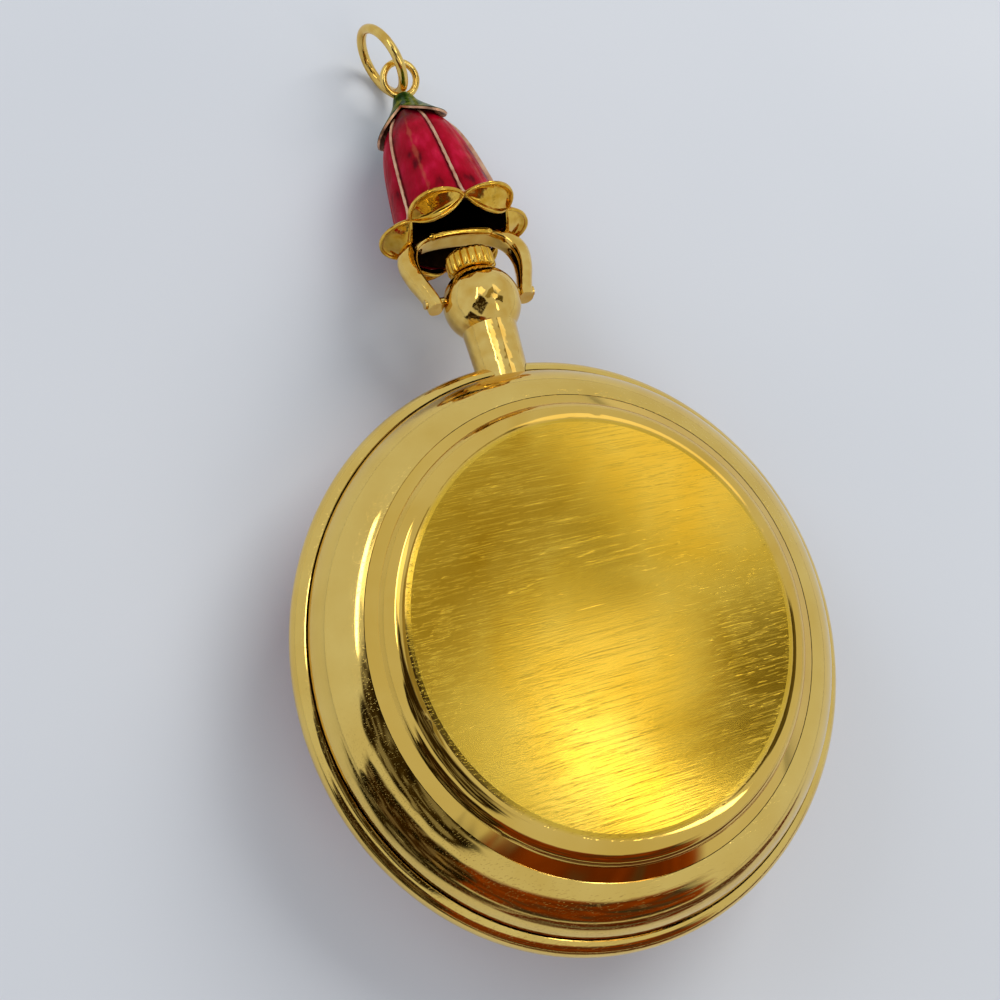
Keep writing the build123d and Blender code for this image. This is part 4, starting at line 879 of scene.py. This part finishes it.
def bow_skin(across, along):
    # Arms round on the outside and flat within, flattening into a plain arch with crisp edges.
    share = 1 - abs(2 * along - 1)
    hand = 1 if along > 0.5 else -1
    outer, inner = along_bow(bow_outside, share), along_bow(bow_inside, share)
    flat = min(1, max(0, (share - arch_start_share) / arch_blend_share))
    angle = 2 * pi * across
    reach, rise = cos(angle), sin(angle)
    power = 1 - 0.6 * flat
    inner_power = 0.5 - 0.15 * flat if reach < 0 else power
    reach = abs(reach) ** inner_power * (1 if reach > 0 else -1)
    rise = abs(rise) ** power * (1 if rise > 0 else -1)
    aside, station = [
        (far + near) / 2 + (far - near) / 2 * reach for far, near in zip(outer, inner)
    ]
    deep = foot_half_depth + arm_swell * min(1, share * 3)
    return flat_in_flower(hand * aside, station, deep * rise)


bow_piece = laid("bow_gold", columns=40, rows=96, place=bow_skin)
close_seams(bow_piece)
cap_ends(bow_piece)
smooth(bow_piece, angle=35)
fit(bow_piece, "flower", "warm_gold", "bow")

strip_length = 4.6
strip_station = 5.78
strip_bend = 0.05
strip_half_width = 0.4
strip_rise = 0.88


def strip_skin(across, along):
    # The round-backed strip soldered along the upper edge of the arch.
    place = strip_length * (along - 0.5)
    angle = 2 * pi * across
    half = strip_half_width * min(1, 8 * min(along, 1 - along) + 0.6)
    station = strip_station - strip_bend * place ** 2 + half * cos(angle)
    return flat_in_flower(place, station, strip_rise + 0.8 * half * sin(angle))


bow_strip = laid("bow_strip", columns=20, rows=40, place=strip_skin)
close_seams(bow_strip)
cap_ends(bow_strip)
smooth(bow_strip, angle=50)
fit(bow_strip, "flower", "lip_gold", "bow")


# Crown

crown_near, crown_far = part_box("crown")
crown_length = 1.55
pipe_length = 1.75
flute_count = 18
flute_height = 0.2
# Radius, place along from the crown's inner face, and share of the flutes' height
crown_line = [
    (0, 0.6, 0), (0.47, 0.6, 0), (0.47, -pipe_length, 0), (0.95, -pipe_length, 0), (0.95, 0, 0),
    (1.4, 0, 0), (1.56, 0.07, 0.5), (1.6, 0.2, 1), (1.6, 0.6, 1), (1.6, 1.05, 1), (1.58, 1.28, 0.8),
    (1.46, 1.45, 0.3), (1.28, 1.53, 0), (0.7, crown_length, 0), (0, crown_length, 0),
]


def crown_skin(across, along):
    # Round-backed flutes, worn soft at both ends, a plain flat end and the pipe that enters the ball.
    radius, place, flute = crown_line[round(along * (len(crown_line) - 1))]
    radius += flute_height * flute * (abs(cos(pi * flute_count * across)) ** 0.7 - 0.6)
    turn = 2 * pi * across
    start = crown_far[1] / MM - crown_length
    axis_height = (crown_near[2] + crown_far[2]) / 2 / MM
    return Vector((radius * cos(turn), start + place, axis_height + radius * sin(turn)))


crown_gold = laid("crown_gold", columns=288, rows=len(crown_line) - 1, place=crown_skin)
close_seams(crown_gold)
smooth(crown_gold, angle=50)
fit(crown_gold, "crown", "lip_gold", "crown")


# Hour marks on the dial

dial_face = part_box("dial")[0][2]
mark_middle = 11.0
mark_length = 1.9
mark_height = 0.14
mark_sunk = 0.02
mark_width = 0.28
quarter_width = 0.5
mark_bevel = 0.05
for hour in range(12):
    width = quarter_width if hour % 3 == 0 else mark_width
    marker = fresh("cube", f"hour_marker_{hour + 1}", size=1)
    for corner in marker.data.vertices:
        across, along, up = corner.co
        corner.co = (
            across * width * MM,
            (mark_middle + along * mark_length) * MM,
            dial_face + (mark_sunk - (up + 0.5) * mark_height) * MM,
        )
    edit(marker)
    bpy.ops.mesh.bevel(offset=mark_bevel * MM, segments=2)
    bpy.ops.mesh.normals_make_consistent(inside=False)
    bpy.ops.object.mode_set(mode="OBJECT")
    spin = Matrix.Rotation(radians(360 / 12 * hour), 3, "Z")
    for corner in marker.data.vertices:
        corner.co = spin @ corner.co
    fit(marker, "case", "polished_gold")


# Stage, lamps and camera

def stage_material(name, build):
    """A material for what isn't part of the watch."""
    made = bpy.data.materials.new(name)
    made.use_nodes = True
    made.node_tree.nodes.clear()
    build(made.node_tree)
    return made


def pale_table(tree):
    # Smooth white table under a cool daylight: pale blue-grey and quite matt. From below, and to light
    # that goes through the crystal, it is clear, so that the dial can be looked at.
    place = add(tree, "TexCoord").outputs["Object"]
    cloud = grain(tree, place, size_mm=60, detail=2)
    body = add(tree, "BsdfPrincipled", {
        "Base Color": add(tree, "ValToRGB", {"Fac": cloud}, stops=[(0.3, "#D5DAE2"), (0.7, "#DBDFE6")]),
        "Roughness": add(tree, "MapRange", {"Value": cloud, "To Min": 0.5, "To Max": 0.6}),
        "Specular IOR Level": 0.05,
    })
    clear = add(tree, "Math", {
        0: add(tree, "NewGeometry").outputs["Backfacing"],
        1: add(tree, "LightPath").outputs["Is Transmission Ray"],
    }, operation="MAXIMUM")
    sheet = add(tree, "MixShader", {0: clear, 1: body, 2: add(tree, "BsdfTransparent")})
    add(tree, "OutputMaterial", {"Surface": sheet})


table_side_m = 3
table_top = fresh("plane", "table_top", size=table_side_m)
table_top.data.materials.append(stage_material("pale_table", pale_table))


def mirrored_card(name, centre, facing, width, height, near, far, level=1.0, blotch=0.0):
    """A soft-edged card that only polished metal reflects, in place of what stands round the watch; a card
    flat on the table is a painted reflection where nothing stands.
    """
    card = fresh("plane", name, size=1, location=[place * MM for place in centre])
    card.scale = (width * MM, height * MM, 1)
    card.rotation_mode = "QUATERNION"
    card.rotation_quaternion = (Vector(facing) - Vector(centre)).to_track_quat("Z", "Y")
    card.visible_camera = False
    card.visible_shadow = False
    card.visible_diffuse = False
    card.visible_transmission = False

    def paint(tree):
        place = add(tree, "TexCoord").outputs["Object"]
        cloud = add(tree, "TexNoise", {"Vector": place, "Scale": 3.5, "Detail": 2, "Distortion": 1.5})
        sides = add(tree, "SeparateXYZ", {
            "Vector": add(tree, "VectorMath", {0: place}, operation="ABSOLUTE"),
        }).outputs
        off = add(tree, "Math", {0: sides["X"], 1: sides["Y"]}, operation="MAXIMUM")
        waver = add(tree, "Math", {0: cloud, 1: 0.5}, operation="SUBTRACT")
        edge = add(tree, "Math", {0: waver, 1: 0.25, 2: off}, operation="MULTIPLY_ADD")
        shown = add(tree, "ValToRGB", {"Fac": edge}, stops=[(0.36, 1.0), (0.48, 0.0)])
        shown.color_ramp.interpolation = "EASE"
        holes = add(tree, "ValToRGB", {"Fac": cloud}, stops=[(0.5, 1.0), (0.56, 1.0 - blotch)])
        colour = add(tree, "ValToRGB", {"Fac": cloud}, stops=[(0.35, near), (0.62, far)])
        mixed = add(tree, "MixShader", {
            0: add(tree, "Math", {0: shown, 1: holes}, operation="MULTIPLY"),
            1: add(tree, "BsdfTransparent"),
            2: add(tree, "Emission", {"Color": colour, "Strength": level}),
        })
        add(tree, "OutputMaterial", {"Surface": mixed})
    card.data.materials.append(stage_material(name + "_paint", paint))


def soft_lamp(name, centre, facing, width, height, watts, colour):
    """A soft lamp that lights the watch and isn't mirrored in it."""
    light = bpy.data.lights.new(name, "AREA")
    light.shape = "RECTANGLE"
    light.size, light.size_y = width, height
    light.energy = watts
    light.color = linear(colour)[:3]
    lamp = bpy.data.objects.new(name, light)
    bpy.context.collection.objects.link(lamp)
    lamp.location = centre
    lamp.rotation_mode = "QUATERNION"
    lamp.rotation_quaternion = (Vector(facing) - Vector(centre)).to_track_quat("-Z", "Y")
    lamp.visible_glossy = False


# Lamps stand in metres
watch_middle = (0, 0.008, 0.008)
soft_lamp("window", (0.25, 0.22, 0.35), watch_middle, 0.3, 0.3, 1.2, "#FFFCF5")
soft_lamp("far_window", (-0.3, 0.3, 0.25), watch_middle, 0.25, 0.25, 0.5, "#F2F6FF")
soft_lamp("near_fill", (0.1, -0.35, 0.3), watch_middle, 0.3, 0.2, 0.4, "#FFF6EA")

# Cards stand in mm: name, place, what they face, width, height, two colours, level, share of holes
at_watch = (0, 8, 8)
at_neck = (0, 22, 8)
mirrored_card("ceiling_light", (96, -2, 252), at_watch, 46, 92, "#FFF6E0", "#FFFFFF", 1.45)
mirrored_card("upper_light", (150, 104, 242), at_watch, 160, 80, "#FFF6E0", "#FFFFFF", 1.2)
mirrored_card("hot_light", (78, -32, 246), at_watch, 19, 30, "#FFFFFF", "#FFFFFF", 6)
mirrored_card("dark_ceiling_right", (168, -30, 240), at_watch, 92, 120, "#4E4824", "#726A48", 0.8)
mirrored_card("dark_ceiling_left", (36, 40, 250), at_watch, 62, 170, "#847C56", "#A29A78", 1.05)
mirrored_card("beam", (110, 47, 248), at_watch, 170, 15, "#3A3620", "#5A543C", 0.9)
mirrored_card("far_light", (-60, 90, 250), at_watch, 80, 80, "#FFFBF0", "#FFFFFF", 1.6)
mirrored_card("dark_above", (-44, -22, 95), at_watch, 84, 92, "#181208", "#4A3C18", 1.0, 0.3)
mirrored_card("lamp_left", (-47, 42, 95), at_neck, 62, 9, "#FFFFFF", "#FFFFFF", 5)
mirrored_card("lamp_right", (46, -36, 92), at_neck, 10, 60, "#FFFFFF", "#FFFFFF", 4)
mirrored_card("near_side", (-12, -150, 38), at_watch, 220, 130, "#8A420C", "#221204", 1.0, 0.05)
mirrored_card("near_left", (-72, -54, 26), at_watch, 74, 62, "#0E120A", "#4A3008", 1.0, 0.15)
mirrored_card("near_sliver", (-84, -96, 30), at_watch, 9, 60, "#FFE9B0", "#FFFFFF", 1.1)
# These two cards lie flat on the bright table, where nothing dark stands: they are painted dark reflections
# in the ring and case.
mirrored_card("painted_dark_reflection", (-58, -48, 0.4), (-58, -48, 100), 76, 76, "#14160A", "#3A2C0A", 1.0, 0.2)
mirrored_card("painted_brown_reflection", (8, -64, 0.4), (8, -64, 100), 110, 66, "#6A300A", "#241406", 1.0, 0.2)

world = bpy.data.worlds.new("room")
bpy.context.scene.world = world
world.use_nodes = True
room = world.node_tree
room.nodes.clear()
ways = add(room, "LightPath").outputs
seen = add(room, "Background", {"Color": "#D2D7DF", "Strength": 1.0})
lit = add(room, "Background", {"Color": "#E8ECF2", "Strength": 0.45})
mirrored = add(room, "Math", {0: ways["Is Camera Ray"], 1: ways["Is Glossy Ray"]}, operation="ADD")
direct = add(room, "Math", {0: mirrored, 1: ways["Is Transmission Ray"]}, operation="ADD")
add(room, "OutputWorld", {"Surface": add(room, "MixShader", {0: direct, 1: lit, 2: seen})})

# Camera at the place that the photograph's own perspective gives, with its right and up in the
# watch's frame
camera_place = Vector((-24.21, -4.71, 66.72)) * MM
right = Vector((0.9239, -0.2656, 0.2754)).normalized()
up = Vector((0.1328, 0.8977, 0.4202)).normalized()
back = right.cross(up).normalized()
up = back.cross(right)
camera_data = bpy.data.cameras.new("camera")
camera = bpy.data.objects.new("camera", camera_data)
bpy.context.collection.objects.link(camera)
turned = Matrix((right, up, back)).transposed()
camera.matrix_world = Matrix.Translation(camera_place) @ turned.to_4x4()
camera_data.sensor_width = 36
camera_data.lens = 37.44
camera_data.shift_y = -0.17
camera_data.clip_start = 0.002
bpy.context.scene.camera = camera
bpy.context.scene.view_settings.view_transform = "Standard"
